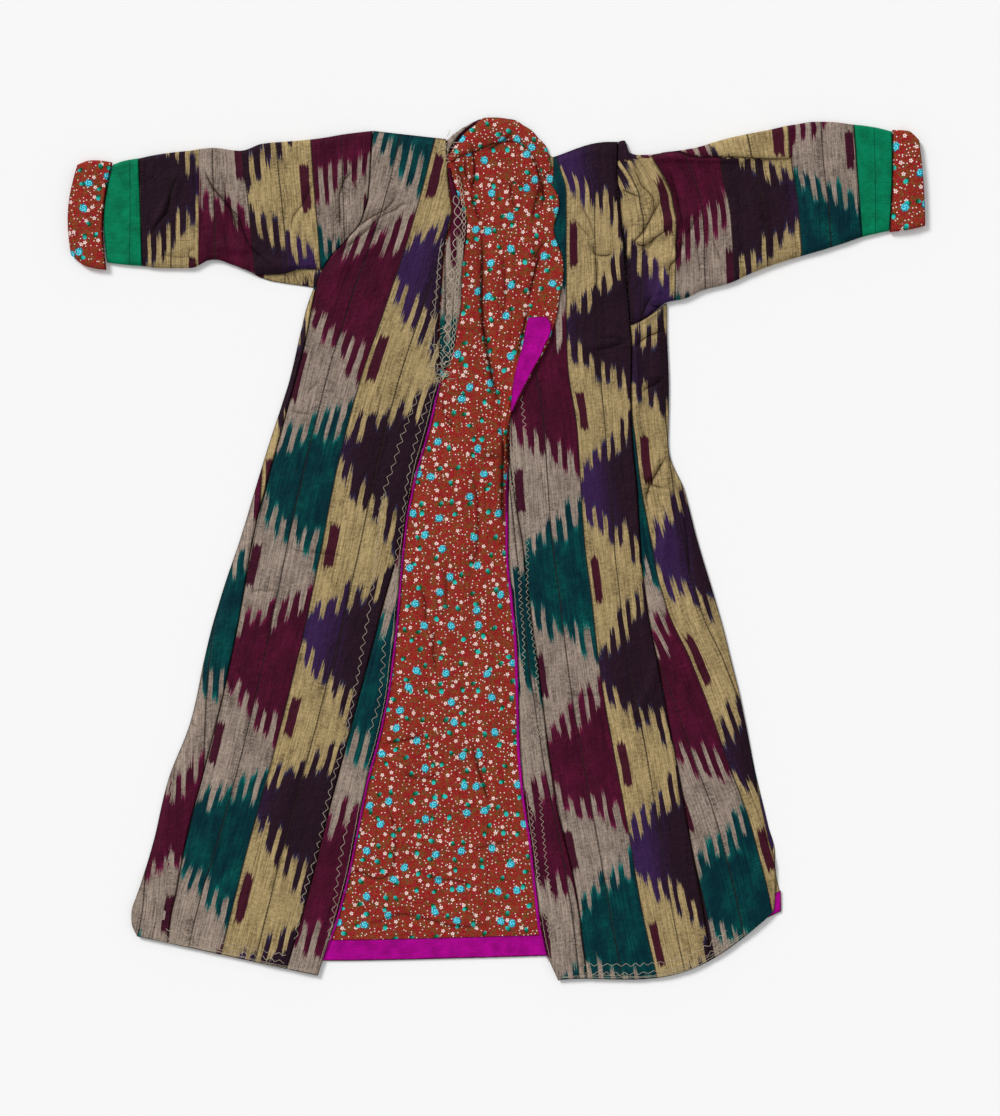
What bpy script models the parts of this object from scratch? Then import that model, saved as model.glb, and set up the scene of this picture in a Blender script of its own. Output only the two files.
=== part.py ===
"""A quilted ikat robe with a flowered lining, laid flat on its back with both fronts open.

The back lies face down on the surface, z = 0. Its lining lies on it, and the two fronts lie on that.
The turned-out lapel lies on the right front. The sleeves are tubes, pressed flat. All sizes are in
millimetres: x runs across from the middle, y runs up from the middle of the length.
"""

import math
from collections import namedtuple

import bpy
import numpy as np

METRES = 0.001

# Cloth and layers
BACK_WALL = 1.8
LINING_WALL = 1.4
FRONT_WALL = 2.0
FACING_WALL = 1.2
LAYER_GAP = 0.3
SEAM_GAP = 0.3
LINING_LOW = BACK_WALL + LAYER_GAP
FRONT_LOW = LINING_LOW + LINING_WALL + 0.4
LAPEL_LOW = FRONT_LOW + FRONT_WALL + 1.6
EDGE_WALL = 1.3  # a wall thins to this at a rounded edge
ROUND_OFF = 12.0  # width of a rounded edge
LINING_INSET = 22.0  # the lining stops this far inside the sides

# Quilting: rows of stitches along the warp, with a soft rise between them
QUILT_RISE = 0.8
CHANNEL = 48.0
CELL = 34.0  # longest step along a panel

# Top edges of the back and of its lining: shoulder, neck, shoulder
EdgePoint = namedtuple("EdgePoint", "x y")
BACK_TOP = [
    EdgePoint(-179, 604), EdgePoint(-73, 592), EdgePoint(-60, 602), EdgePoint(-44, 613),
    EdgePoint(-9, 624), EdgePoint(17, 622), EdgePoint(40, 612), EdgePoint(60, 595),
    EdgePoint(75, 574), EdgePoint(82, 568), EdgePoint(120, 582), EdgePoint(176, 588),
]
LINING_TOP = [
    EdgePoint(-162, 577), EdgePoint(-73, 572), EdgePoint(-50, 588), EdgePoint(4, 598),
    EdgePoint(50, 580), EdgePoint(82, 554), EdgePoint(165, 545),
]

# Hem of the back: its two ends, and how far it hangs below the line between them
HEM_LEFT = (-523.0, -550.0)
HEM_RIGHT = (413.0, -525.0)
HEM_SAG = 56.0
HEM_FACING = 31.0  # height of the facing inside the back hem
FACING_INSET = 8.0  # the facing stops this far inside the back's corners

# A row for each section of a front, from the shoulder to the hem. side_y and edge_y are its heights
# at the side (the armhole, above the armpit) and at the front opening. The next four are the places of
# the side, the gore's seam, the wedge's seam and the opening. sag is how far the row bows down.
FrontRow = namedtuple("FrontRow", "side_y edge_y side gore wedge edge sag")
LEFT_FRONT = [
    FrontRow(606, 594, -179, -179, -73, -73, 0),
    FrontRow(564, 564, -182, -182, -72, -72, 0),
    FrontRow(521, 521, -185, -185, -69, -69, 0),
    FrontRow(487, 487, -192, -192, -65, -65, 0),
    FrontRow(448, 448, -215, -215, -73, -73, 0),
    FrontRow(412, 412, -240, -240, -78, -78, 0),
    FrontRow(376, 376, -266, -262, -80, -80, 0),
    FrontRow(318, 318, -283, -273, -83, -83, 0),
    FrontRow(257, 257, -297, -288, -82, -82, 0),
    FrontRow(216, 216, -309, -299, -90, -90, 0),
    FrontRow(158, 158, -328, -315, -104, -104, 0),
    FrontRow(86, 86, -350, -335, -125, -123, 0),
    FrontRow(13, 13, -372, -353, -139, -135, 0),
    FrontRow(-74, -74, -401, -368, -162, -143, 0),
    FrontRow(-161, -161, -424, -385, -185, -152, 0),
    FrontRow(-248, -248, -443, -405, -208, -166, 0),
    FrontRow(-335, -335, -476, -427, -231, -188, 0),
    FrontRow(-419, -425, -496, -449, -254, -206, 0),
    FrontRow(-494, -516, -518, -464, -276, -227, 0),
    FrontRow(-535, -574, -529, -473, -292, -245, 0),
    FrontRow(-561, -618, -521, -476, -304, -259, 0),
]
RIGHT_FRONT = [
    FrontRow(590, 568, 176, 176, 82, 82, -6),
    FrontRow(557, 535, 175, 175, 82, 82, 0),
    FrontRow(506, 499, 178, 178, 72, 72, 0),
    FrontRow(463, 455, 182, 182, 65, 65, 0),
    FrontRow(419, 419, 186, 186, 60, 60, 0),
    FrontRow(361, 361, 191, 191, 53, 53, 0),
    FrontRow(320, 320, 247, 194, 44, 44, 0),
    FrontRow(296, 296, 247, 196, 38, 38, 0),
    FrontRow(216, 216, 250, 195, 22, 22, 0),
    FrontRow(158, 158, 249, 197, 19, 17, 0),
    FrontRow(86, 86, 272, 204, 25, 17, 0),
    FrontRow(13, 13, 291, 208, 37, 17, 0),
    FrontRow(-74, -74, 317, 217, 47, 24, 0),
    FrontRow(-161, -161, 340, 233, 59, 31, 0),
    FrontRow(-248, -248, 360, 249, 70, 33, 0),
    FrontRow(-335, -335, 376, 266, 81, 38, 0),
    FrontRow(-419, -422, 394, 281, 99, 50, 3),
    FrontRow(-473, -509, 404, 295, 117, 60, 13),
    FrontRow(-516, -574, 408, 305, 125, 70, 29),
    FrontRow(-535, -625, 397, 311, 131, 89, 42),
]
ARMPIT_Y = {"left": 376, "right": 320}  # the gore starts here, at its seam with the front
ARMPIT_LIFT = {"left": 0, "right": 33}  # and this much higher at its outer side
LIFT_FADE = 200.0
WEDGE_Y = {"left": 86, "right": 158}  # the wedge starts here

# A row for each section across a sleeve: its upper and lower ends and how thick the flat tube is there.
SleeveRow = namedtuple("SleeveRow", "top_x top_y low_x low_y thick")
LEFT_SLEEVE = [
    SleeveRow(-179, 606, -244, 405, 5.9),
    SleeveRow(-220, 601, -278, 406, 7.5),
    SleeveRow(-263, 594, -308, 399, 8.5),
    SleeveRow(-307, 590, -340, 398, 8.5),
    SleeveRow(-340, 587, -365, 405, 8.0),
    SleeveRow(-372, 577, -386, 413, 7.5),
    SleeveRow(-408, 581, -413, 419, 7.5),
    SleeveRow(-444, 577, -444, 407, 8.0),
    SleeveRow(-481, 573, -481, 407, 7.5),
    SleeveRow(-518, 566, -513, 410, 7.0),
]
RIGHT_SLEEVE = [
    SleeveRow(176, 590, 194, 325, 5.9),
    SleeveRow(185, 592, 208, 330, 6.5),
    SleeveRow(193, 574, 230, 345, 7.5),
    SleeveRow(215, 571, 249, 358, 8.5),
    SleeveRow(244, 575, 270, 362, 8.5),
    SleeveRow(281, 580, 299, 375, 8.0),
    SleeveRow(317, 590, 334, 384, 8.0),
    SleeveRow(353, 599, 368, 399, 8.5),
    SleeveRow(394, 607, 405, 413, 8.0),
    SleeveRow(433, 615, 444, 425, 7.5),
    SleeveRow(472, 619, 488, 438, 7.5),
    SleeveRow(517, 615, 529, 452, 7.0),
]
LEFT_END = [
    SleeveRow(-518, 566, -513, 410, 7.0),
    SleeveRow(-537, 563, -539, 412, 6.6),
    SleeveRow(-556, 557, -564, 415, 6.2),
]
RIGHT_END = [
    SleeveRow(517, 615, 529, 452, 7.0),
    SleeveRow(542, 612, 550, 457, 6.6),
    SleeveRow(573, 605, 569, 461, 6.2),
]
LEFT_CUFF = [
    SleeveRow(-556, 560, -565, 404, 9.5),
    SleeveRow(-582, 563, -589, 408, 10.5),
    SleeveRow(-606, 557, -615.4, 425, 9.5),
]
RIGHT_CUFF = [
    SleeveRow(573, 607, 569, 459, 9.5),
    SleeveRow(592, 606, 594, 462, 10.5),
    SleeveRow(611, 593, 619.9, 468, 9.5),
]
CUFF_BOW = {"left": -9.0, "right": 2.0}  # how far a cuff's ends bow along x
SLEEVE_WALL = 1.8
CUFF_WALL = 2.4
FADE = 0.3  # the share of a sleeve over which the armhole's curve fades out

# A row for each section of a strip: the two ends of the section.
StripRow = namedtuple("StripRow", "left_x left_y right_x right_y")
LAPEL = [
    StripRow(5, 529, 79, 529),
    StripRow(-2, 499, 91, 499),
    StripRow(-18, 463, 83, 463),
    StripRow(-22, 412, 97, 412),
    StripRow(-22, 361, 91, 361),
    StripRow(-18, 310, 79, 310),
    StripRow(-9, 260, 54, 260),
    StripRow(1, 216, 32, 216),
    StripRow(4, 190, 20, 190),
    StripRow(9, 158, 15, 158),
    StripRow(12, 132, 14, 132),
]
LAPEL_FACING = [
    StripRow(46, 335, 72, 336),
    StripRow(42, 318, 79, 321),
    StripRow(38, 296, 71, 297),
    StripRow(28, 260, 53, 260),
    StripRow(22, 223, 34, 223),
    StripRow(20, 199, 23, 199),
]
COLLAR_BAND = [
    StripRow(-71, 552, -67, 552),
    StripRow(-68, 521, -59, 521),
    StripRow(-64, 492, -49, 492),
    StripRow(-66, 470, -43, 470),
    StripRow(-74, 434, -46, 434),
    StripRow(-78, 397, -50, 397),
    StripRow(-80, 361, -51, 361),
    StripRow(-82, 325, -56, 325),
    StripRow(-82, 289, -62, 289),
    StripRow(-81, 260, -74, 260),
]
NECK_BAND = [
    StripRow(-71, 567, -66, 560),
    StripRow(-56, 590, -48, 570),
    StripRow(-34, 612, -27, 577),
    StripRow(-9, 625, -4, 587),
    StripRow(17, 623, 20, 590),
    StripRow(40, 613, 40, 581),
    StripRow(60, 596, 54, 567),
    StripRow(75, 573, 63, 550),
    StripRow(79, 550, 66, 536),
]
NECK_BAND_OUTER = [
    StripRow(-71, 592, -72, 571),
    StripRow(-60, 602, -61, 591),
    StripRow(-46, 611, -48, 605.5),
    StripRow(-33, 619, -34, 616.5),
]
GUSSET = [
    StripRow(-262, 402, -271, 379),
    StripRow(-285, 402, -288, 383),
    StripRow(-314, 396, -315, 388),
    StripRow(-338, 395.5, -338, 392),
]
# A row for each end of a facing strip along an opening: where it starts and stops, and how wide it shows.
FacingRow = namedtuple("FacingRow", "top low wide")
EDGE_FACING = {"left": FacingRow(250, -590, 4.5), "right": FacingRow(120, -598, 5.0)}

# The largest folds: a row for each, from one end to the other. A rise below zero is a trough.
FoldRow = namedtuple("FoldRow", "from_x from_y to_x to_y half_width rise")
FOLDS = [
    FoldRow(-140, 500, -240, 428, 14, 5.0),
    FoldRow(-172, 474, -230, 438, 12, 4.0),
    FoldRow(-180, 590, -250, 480, 22, 3.0),
    FoldRow(-415, 560, -370, 455, 16, 4.5),
    FoldRow(-470, 545, -505, 440, 18, 4.0),
    FoldRow(-300, 560, -330, 430, 20, 2.5),
    FoldRow(226, 545, 240, 470, 14, 4.5),
    FoldRow(240, 470, 190, 434, 14, 5.0),
    FoldRow(258, 458, 192, 436, 12, 5.5),
    FoldRow(210, 566, 430, 572, 18, 5.0),
    FoldRow(262, 440, 300, 560, 20, 3.0),
    FoldRow(400, 560, 470, 470, 20, 3.0),
    FoldRow(248, 115, 232, -20, 16, 4.5),
    FoldRow(240, -155, 200, -240, 20, 3.0),
    FoldRow(196, 290, 100, 282, 18, 3.0),
    FoldRow(150, 430, 190, 446, 16, 3.0),
    FoldRow(-260, 120, -330, -160, 26, 2.5),
    FoldRow(-360, -230, -420, -480, 26, 2.5),
    FoldRow(140, 100, 170, -200, 26, 2.5),
    FoldRow(230, -300, 280, -520, 26, 2.5),
    FoldRow(-40, 150, -60, -420, 14, 2.5),
    FoldRow(-90, 20, -120, -500, 12, 2.0),
]
THINNEST = 1.2

# Base colours of the cloths: red, green and blue in linear light, then roughness
CLOTHS = {
    "ikat": (0.055, 0.012, 0.022, 0.55),
    "flowered": (0.32, 0.025, 0.018, 0.8),
    "magenta": (0.35, 0.0, 0.30, 0.6),
    "green": (0.0, 0.15, 0.06, 0.6),
}


def smooth_step(value):
    """0 below 0, 1 above 1, and a smooth rise between."""
    clipped = np.clip(value, 0, 1)
    return clipped * clipped * (3 - 2 * clipped)


def smooth_through(knots, values, at):
    """A cubic curve through the values that never swings past them."""
    knots = np.asarray(knots, float)
    values = np.asarray(values, float)
    step = np.diff(knots)
    slope = np.diff(values) / step
    tangent = np.zeros(len(knots))
    product = slope[:-1] * slope[1:]
    total = slope[:-1] + slope[1:]
    turning = (product <= 0) | (total == 0)
    tangent[1:-1] = np.where(turning, 0, 2 * product / np.where(turning, 1, total))
    tangent[0] = slope[0]
    tangent[-1] = slope[-1]
    index = np.clip(np.searchsorted(knots, at, side="right") - 1, 0, len(step) - 1)
    part = (at - knots[index]) / step[index]
    flip = 1 - part
    start = values[index] + tangent[index] * step[index] * part
    end = values[index + 1] - tangent[index + 1] * step[index] * flip
    blend = part * part * (3 - 2 * part)
    return start * (1 - blend) + end * blend


def column(rows, name):
    return np.array([getattr(row, name) for row in rows], float)


def stations(knots, longest):
    """The knots, with each gap between two of them split into equal steps no longer than this."""
    parts = []
    for first, last in zip(knots[:-1], knots[1:]):
        count = max(1, math.ceil((last - first) / longest))
        parts.append(np.linspace(first, last, count, endpoint=False))
    return np.append(np.concatenate(parts), knots[-1])


def loft(rows, longest):
    """Each column of the table as a smooth curve, at stations along the rows' mean path."""
    table = np.array(rows, float)
    heights = table[:, :2].mean(1) if isinstance(rows[0], FrontRow) else None
    if heights is None:
        middle = (table[:, 0:2] + table[:, 2:4]) / 2
        steps = np.hypot(*np.diff(middle, axis=0).T)
    else:
        steps = np.abs(np.diff(heights))
    knots = np.append(0, np.cumsum(steps))
    at = stations(knots, longest)
    if heights is not None:
        at = np.insert(at, 1, ROUND_OFF)
    curves = [smooth_through(knots, table[:, i], at) for i in range(table.shape[1])]
    return type(rows[0])(*curves)


def front_grid(lofted, first, last, fractions, skew):
    """x and y of a panel between two columns of a front, with half a seam's gap left at each side."""
    left = np.minimum(first, last) + SEAM_GAP / 2
    right = np.maximum(first, last) - SEAM_GAP / 2
    x = left[:, None] + (right - left)[:, None] * fractions[None, :]
    reach = (x - lofted.edge[:, None]) / (lofted.side - lofted.edge)[:, None]
    reach = np.clip(reach, 0, 1)
    bow = np.sin(math.pi * reach**skew)
    y = lofted.edge_y[:, None] + (lofted.side_y - lofted.edge_y)[:, None] * reach
    return x, y - lofted.sag[:, None] * bow


def strip_grid(lofted, fractions):
    x = lofted.left_x[:, None] + (lofted.right_x - lofted.left_x)[:, None] * fractions
    y = lofted.left_y[:, None] + (lofted.right_y - lofted.left_y)[:, None] * fractions
    return x, y


def fold_height(x, y):
    """The largest folds' rise at each point: a bell across each fold, fading at its ends."""
    rise = np.zeros_like(x)
    for fold in FOLDS:
        run = np.array([fold.to_x - fold.from_x, fold.to_y - fold.from_y])
        length = np.hypot(*run)
        along = ((x - fold.from_x) * run[0] + (y - fold.from_y) * run[1]) / length**2
        nearest = np.clip(along, 0, 1)
        away = np.hypot(x - fold.from_x - nearest * run[0], y - fold.from_y - nearest * run[1])
        ends = 0.35 + 0.65 * np.sin(math.pi * np.clip(nearest, 0, 1))
        rise = np.maximum(rise, fold.rise * ends * np.exp(-((away / fold.half_width) ** 2)))
    return rise


def back_hem(x):
    """Height of the back's hem at x."""
    share = np.clip((x - HEM_LEFT[0]) / (HEM_RIGHT[0] - HEM_LEFT[0]), 0, 1)
    straight = HEM_LEFT[1] + (HEM_RIGHT[1] - HEM_LEFT[1]) * share
    return straight - HEM_SAG * (1 - np.abs(2 * share - 1) ** 4)


def wall_faces(rows, columns):
    """Quads of a closed wall: its top, its underside and its rim, for two grids of this size."""
    index = np.arange(rows * columns).reshape(rows, columns)
    corner = index[:-1, :-1]
    quads = np.stack([corner, index[1:, :-1], index[1:, 1:], index[:-1, 1:]], -1).reshape(-1, 4)
    rim = np.concatenate([index[0, :], index[1:, -1], index[-1, -2::-1], index[-2:0:-1, 0]])
    follow = np.roll(rim, -1)
    under = rows * columns
    sides = np.stack([rim, follow, follow + under, rim + under], -1)
    return np.concatenate([quads, quads[:, ::-1] + under, sides])


def cloth(name):
    """The material of this cloth, made once."""
    found = bpy.data.materials.get(name)
    if found:
        return found
    red, green, blue, roughness = CLOTHS[name]
    made = bpy.data.materials.new(name)
    made.use_nodes = True
    shader = made.node_tree.nodes["Principled BSDF"]
    shader.inputs["Base Color"].default_value = (red, green, blue, 1)
    shader.inputs["Roughness"].default_value = roughness
    shader.inputs["Metallic"].default_value = 0
    made.diffuse_color = (red, green, blue, 1)
    return made


def add_object(name, points, faces, cloth_name):
    """One named object from points in millimetres, shaded smooth, with faces turned outwards."""
    shape = bpy.data.meshes.new(name)
    shape.from_pydata((points * METRES).tolist(), [], faces.tolist())
    shape.validate()
    shape.shade_smooth()
    shape.materials.append(cloth(cloth_name))
    made = bpy.data.objects.new(name, shape)
    bpy.context.scene.collection.objects.link(made)
    return made


def add_wall(name, x, y, low, high, cloth_name):
    """A closed cloth wall over the grid x, y from its plain underside to its top."""
    across = (x[1:, 1:] - x[:-1, :-1]) * (y[:-1, 1:] - y[1:, :-1])
    down = (y[1:, 1:] - y[:-1, :-1]) * (x[:-1, 1:] - x[1:, :-1])
    if (across - down).sum() < 0:
        x, y, low, high = (grid[:, ::-1] for grid in (x, y, low, high))
    high = np.maximum(high, low + THINNEST)
    top = np.stack([x, y, high], -1).reshape(-1, 3)
    under = np.stack([x, y, low], -1).reshape(-1, 3)
    return add_object(name, np.concatenate([top, under]), wall_faces(*x.shape), cloth_name)


def quilting(count):
    """Fractions across a panel of this many quilted channels, and their rise: 0 at each line of stitches."""
    fractions = np.linspace(0, 1, 2 * count + 1)
    rise = QUILT_RISE * np.abs(np.sin(math.pi * count * fractions))
    return fractions, rise


def add_front(name, side, rows, first, last, channels, lift):
    """One panel of a front, between two columns of its table. lift raises the outer end of each row."""
    inner, outer = getattr(rows, last), getattr(rows, first)
    is_gore, is_main = first == "side", last == "wedge"
    fractions, rise = quilting(channels)
    if is_gore:
        extra = np.array([0.08, 0.22]) if side == "left" else np.array([0.78, 0.92])
        order = np.argsort(np.append(fractions, extra))
        rise = np.append(rise, QUILT_RISE * np.abs(np.sin(math.pi * channels * extra)))[order]
        fractions = np.append(fractions, extra)[order]
    x, y = front_grid(rows, outer, inner, fractions, {"left": 1.0, "right": 1.3}[side])
    reach = np.clip((x - inner[:, None]) / (outer - inner)[:, None], 0, 1)
    y = y + lift[:, None] * reach
    rounded = np.ones_like(x)
    if is_gore:
        rounded = np.abs(x - outer[:, None]) / np.clip(np.abs(outer - inner), 1, ROUND_OFF)[:, None]
    if is_main:
        rounded = np.minimum(rounded, (y[:1] - y) / ROUND_OFF)
    rounded = np.maximum(rounded, (back_hem(x) + 110 - y) / 30)
    inside = smooth_step(rounded)
    low = LINING_LOW + (FRONT_LOW - LINING_LOW) * inside
    thick = EDGE_WALL + (FRONT_WALL - EDGE_WALL) * inside
    high = low + thick + (rise[None, :] + fold_height(x, y)) * inside
    return add_wall(name, x, y, low, high, "ikat")


def add_fronts(side, table):
    """The panel, gore and wedge of one front. Returns the curves that its neighbours follow."""
    rows = loft(table, CELL)
    height = (rows.side_y + rows.edge_y) / 2
    gore = FrontRow(*(curve[height < ARMPIT_Y[side] + 1] for curve in rows))
    wedge = FrontRow(*(curve[height < WEDGE_Y[side] + 1] for curve in rows))
    below = ARMPIT_Y[side] - (gore.side_y + gore.edge_y) / 2
    lift = ARMPIT_LIFT[side] * (1 - smooth_step(below / LIFT_FADE))
    channels = {"left": 1, "right": 2}[side]
    add_front(f"{side}_front_panel", side, rows, "gore", "wedge", 4, 0 * height)
    add_front(f"{side}_front_wedge", side, wedge, "wedge", "edge", 1, 0 * wedge.sag)
    add_front(f"{side}_side_gore", side, gore, "side", "gore", channels, lift)
    return rows


def add_edge_facing(side, rows):
    """The narrow facing that shows beyond the edge of an opening. It follows the edge's own points."""
    row = EDGE_FACING[side]
    inward = 1 if side == "left" else -1
    within = rows.edge_y[(rows.edge_y < row.top - 5) & (rows.edge_y > row.low + 5)]
    y_line = np.concatenate([[row.top], within, [row.low]])
    edge = np.interp(-y_line, -rows.edge_y, rows.edge)
    ends = np.minimum(row.top - y_line, y_line - row.low)
    wide = row.wide * smooth_step(0.25 + ends / 60)
    near = edge + inward * (SEAM_GAP + 0.2)
    x = near[:, None] + inward * wide[:, None] * np.array([0, 0.5, 1])
    y = np.repeat(y_line[:, None], 3, 1)
    low = np.full_like(x, FRONT_LOW)
    add_wall(f"{side}_front_facing", x, y, low, low + FACING_WALL + np.array([0.2, 0.3, 0]), "magenta")


def back_sides(left, right):
    """Rows of the back: its two ends at each height, from the shoulders to the hem."""
    y_line = stations(np.array([0, 120, 230, 286, 310, 520, 820, 1085]), 2.2 * CELL)
    y_line = 606 - y_line
    gore_x = np.interp(-y_line, -right.side_y, right.gore)
    left_x = np.interp(-y_line, -left.side_y, left.side)
    right_x = np.where(y_line > ARMPIT_Y["right"] - 1, gore_x, np.interp(-y_line, -right.side_y, right.side))
    return y_line, left_x, right_x


def back_grid(sides, columns, inset, top, bottom):
    """x and y over the back, its sides moved in by the inset, with a column at each of these places
    along the top edge. bottom gives the last row's height at x."""
    y_line, left_x, right_x = sides
    left_x = np.append(left_x, HEM_LEFT[0]) + inset
    right_x = np.append(right_x, HEM_RIGHT[0]) - inset
    fractions = (columns - columns[0]) / (columns[-1] - columns[0])
    x = left_x[:, None] + (right_x - left_x)[:, None] * fractions
    y = np.repeat(np.append(y_line, 0)[:, None], len(fractions), 1)
    y[0] = smooth_through(column(top, "x"), column(top, "y"), x[0])
    y[-1] = bottom(x[-1])
    return x, y


def add_back(left, right):
    """The back, its lining and the facing inside its hem."""
    sides = back_sides(left, right)
    columns = stations(column(BACK_TOP, "x"), 60)
    x, y = back_grid(sides, columns, 0, BACK_TOP, back_hem)
    flat = np.zeros_like(x)
    add_wall("back_panel", x, y, flat, flat + BACK_WALL, "ikat")

    columns = stations(column(LINING_TOP, "x"), 30)
    x, y = back_grid(sides, columns, LINING_INSET, LINING_TOP, lambda at: back_hem(at) + HEM_FACING)
    low = np.full_like(x, LINING_LOW)
    shown = smooth_step((x + 110) / 30) * smooth_step((10 - x) / 30) * (np.abs(y) < 420)
    add_wall("back_lining", x, y, low, low + LINING_WALL + 0.6 * shown * fold_height(x, y), "flowered")

    ends = [HEM_LEFT[0] + FACING_INSET], [HEM_RIGHT[0] - 1]
    line = np.concatenate([ends[0], x[-1], ends[1]])
    top = back_hem(line) + HEM_FACING - SEAM_GAP
    hem = back_hem(line) + 1
    x = np.repeat(line[None, :], 3, 0)
    y = top + (hem - top) * np.array([[0], [0.5], [1]])
    low = np.full_like(x, LINING_LOW)
    add_wall("back_hem_facing", x, y, low, low + LINING_WALL, "magenta")


def tube_profile():
    """Fractions down a flat tube and how full it is at each, for its upper and its lower face."""
    fractions = np.array([0, 0.02, 0.07, 0.19, 0.31, 0.43, 0.55, 0.67, 0.79, 0.93, 0.98, 1])
    edge = 0.045
    near = np.minimum(fractions, 1 - fractions)
    full = np.sqrt(1 - (1 - np.clip(near / edge, 0, 1)) ** 2)
    return fractions, full


def add_tube(name, rows, count, wall, bend, quilted, cloth_name):
    """A flat tube from section to section, open at both ends. bend moves points along x."""
    table = np.array(rows, float)
    middle = (table[:, 0:2] + table[:, 2:4]) / 2
    knots = np.append(0, np.cumsum(np.hypot(*np.diff(middle, axis=0).T)))
    at = np.linspace(0, knots[-1], count)
    lofted = SleeveRow(*(smooth_through(knots, table[:, i], at) for i in range(5)))
    fractions, full = tube_profile()
    x = lofted.top_x[:, None] + (lofted.low_x - lofted.top_x)[:, None] * fractions
    y = lofted.top_y[:, None] + (lofted.low_y - lofted.top_y)[:, None] * fractions
    x = x + bend(at / knots[-1], fractions, y[0])
    half = lofted.thick[:, None] / 2
    channels = (count - 1) / 2
    quilt = QUILT_RISE * np.abs(np.sin(math.pi * channels * at / knots[-1]))[:, None] if quilted else 0
    ends = np.clip(np.minimum(at, at[::-1]) / 25, 0, 1)[:, None]
    relief = (quilt + 0.9 * fold_height(x, y) * ends) * full**2
    rings = []
    for thinner in (0, wall):
        width = np.hypot(lofted.top_x - lofted.low_x, lofted.top_y - lofted.low_y)[:, None]
        shrink = 1 - 2 * thinner / width
        down = 0.5 + (fractions - 0.5) * shrink
        ring_x = np.array([np.interp(d, fractions, row) for d, row in zip(down, x)])
        ring_y = np.array([np.interp(d, fractions, row) for d, row in zip(down, y)])
        reach = half - thinner
        upper = half + reach * full + (relief if thinner == 0 else 0)
        lower = half - reach * full
        across = np.concatenate([ring_x, ring_x[:, -2:0:-1]], 1)
        along = np.concatenate([ring_y, ring_y[:, -2:0:-1]], 1)
        height = np.concatenate([upper, lower[:, -2:0:-1]], 1)
        rings.append(np.stack([across, along, height], -1))
    sections, around = rings[0].shape[:2]
    index = np.arange(sections * around).reshape(sections, around)
    follow = np.roll(index, -1, 1)
    outside = np.stack([index[:-1], index[1:], follow[1:], follow[:-1]], -1).reshape(-1, 4)
    inner = sections * around
    start = np.stack([index[0], follow[0], follow[0] + inner, index[0] + inner], -1)
    finish = np.stack([index[-1] + inner, follow[-1] + inner, follow[-1], index[-1]], -1)
    faces = np.concatenate([outside, outside[:, ::-1] + inner, start, finish])
    if rows[-1].top_x > rows[0].top_x:
        faces = faces[:, ::-1]
    points = np.concatenate([rings[0].reshape(-1, 3), rings[1].reshape(-1, 3)])
    add_object(name, points, faces, cloth_name)


def add_sleeves(side, lofted, back_y, back_x, rows, end_rows, cuff_rows):
    """Sleeve, green sleeve end and turned-back cuff. The sleeve starts along the armhole's curve."""
    outward = -1 if side == "left" else 1
    gap = outward * SEAM_GAP

    def armhole(share, fractions, first_y):
        front = np.interp(-first_y, -lofted.side_y, lofted.gore)
        back = np.interp(-first_y, -back_y, back_x)
        line = np.minimum(front, back) if side == "left" else np.maximum(front, back)
        chord = rows[0].top_x + (rows[0].low_x - rows[0].top_x) * fractions
        fade = (1 - smooth_step(share / FADE))[:, None]
        stop = (1 - smooth_step((1 - share) / 0.01))[:, None]
        return fade * (line - chord + gap)[None, :] - gap * stop

    def cuff_end(share, fractions, first_y):
        bow = CUFF_BOW[side] * np.sin(math.pi * fractions)
        return smooth_step(share)[:, None] * bow[None, :] + gap * (1 - 2 * share)[:, None]

    def cuff(share, fractions, first_y):
        bow = CUFF_BOW[side] * np.sin(math.pi * fractions)
        return np.ones_like(share)[:, None] * bow[None, :] + 1.5 * gap

    count = {"left": 15, "right": 17}[side]
    add_tube(f"{side}_sleeve", rows, count, SLEEVE_WALL, armhole, True, "ikat")
    add_tube(f"{side}_sleeve_end", end_rows, 4, SLEEVE_WALL, cuff_end, False, "green")
    add_tube(f"{side}_cuff", cuff_rows, 6, CUFF_WALL, cuff, False, "flowered")


def add_strip(name, rows, longest, fractions, low, high, cloth_name):
    """A narrow piece: low and high are functions of x, y and the fraction across."""
    lofted = loft(rows, longest)
    x, y = strip_grid(lofted, fractions)
    across = np.broadcast_to(fractions, x.shape)
    bottom = low(x, y, across)
    add_wall(name, x, y, bottom, bottom + high(x, y, across), cloth_name)


def lapel_low(x, y, across):
    """The lapel rises from the lining, over the edge of the front beneath it."""
    return FRONT_LOW + (LAPEL_LOW - FRONT_LOW) * smooth_step(across / 0.35)


def lapel_thick(x, y, across):
    """Two layers of cloth, full along the roll and along a fold near the middle, thin at the free edge."""
    roll = 2.4 * np.exp(-(((across - 0.14) / 0.1) ** 2))
    fold = 1.6 * np.exp(-(((across - 0.62) / 0.08) ** 2)) * smooth_step((330 - np.abs(y - 340)) / 120)
    ends = smooth_step(across / 0.08) * smooth_step((1 - across) / 0.06)
    return 1.4 + (1.0 + roll + fold) * ends


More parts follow.
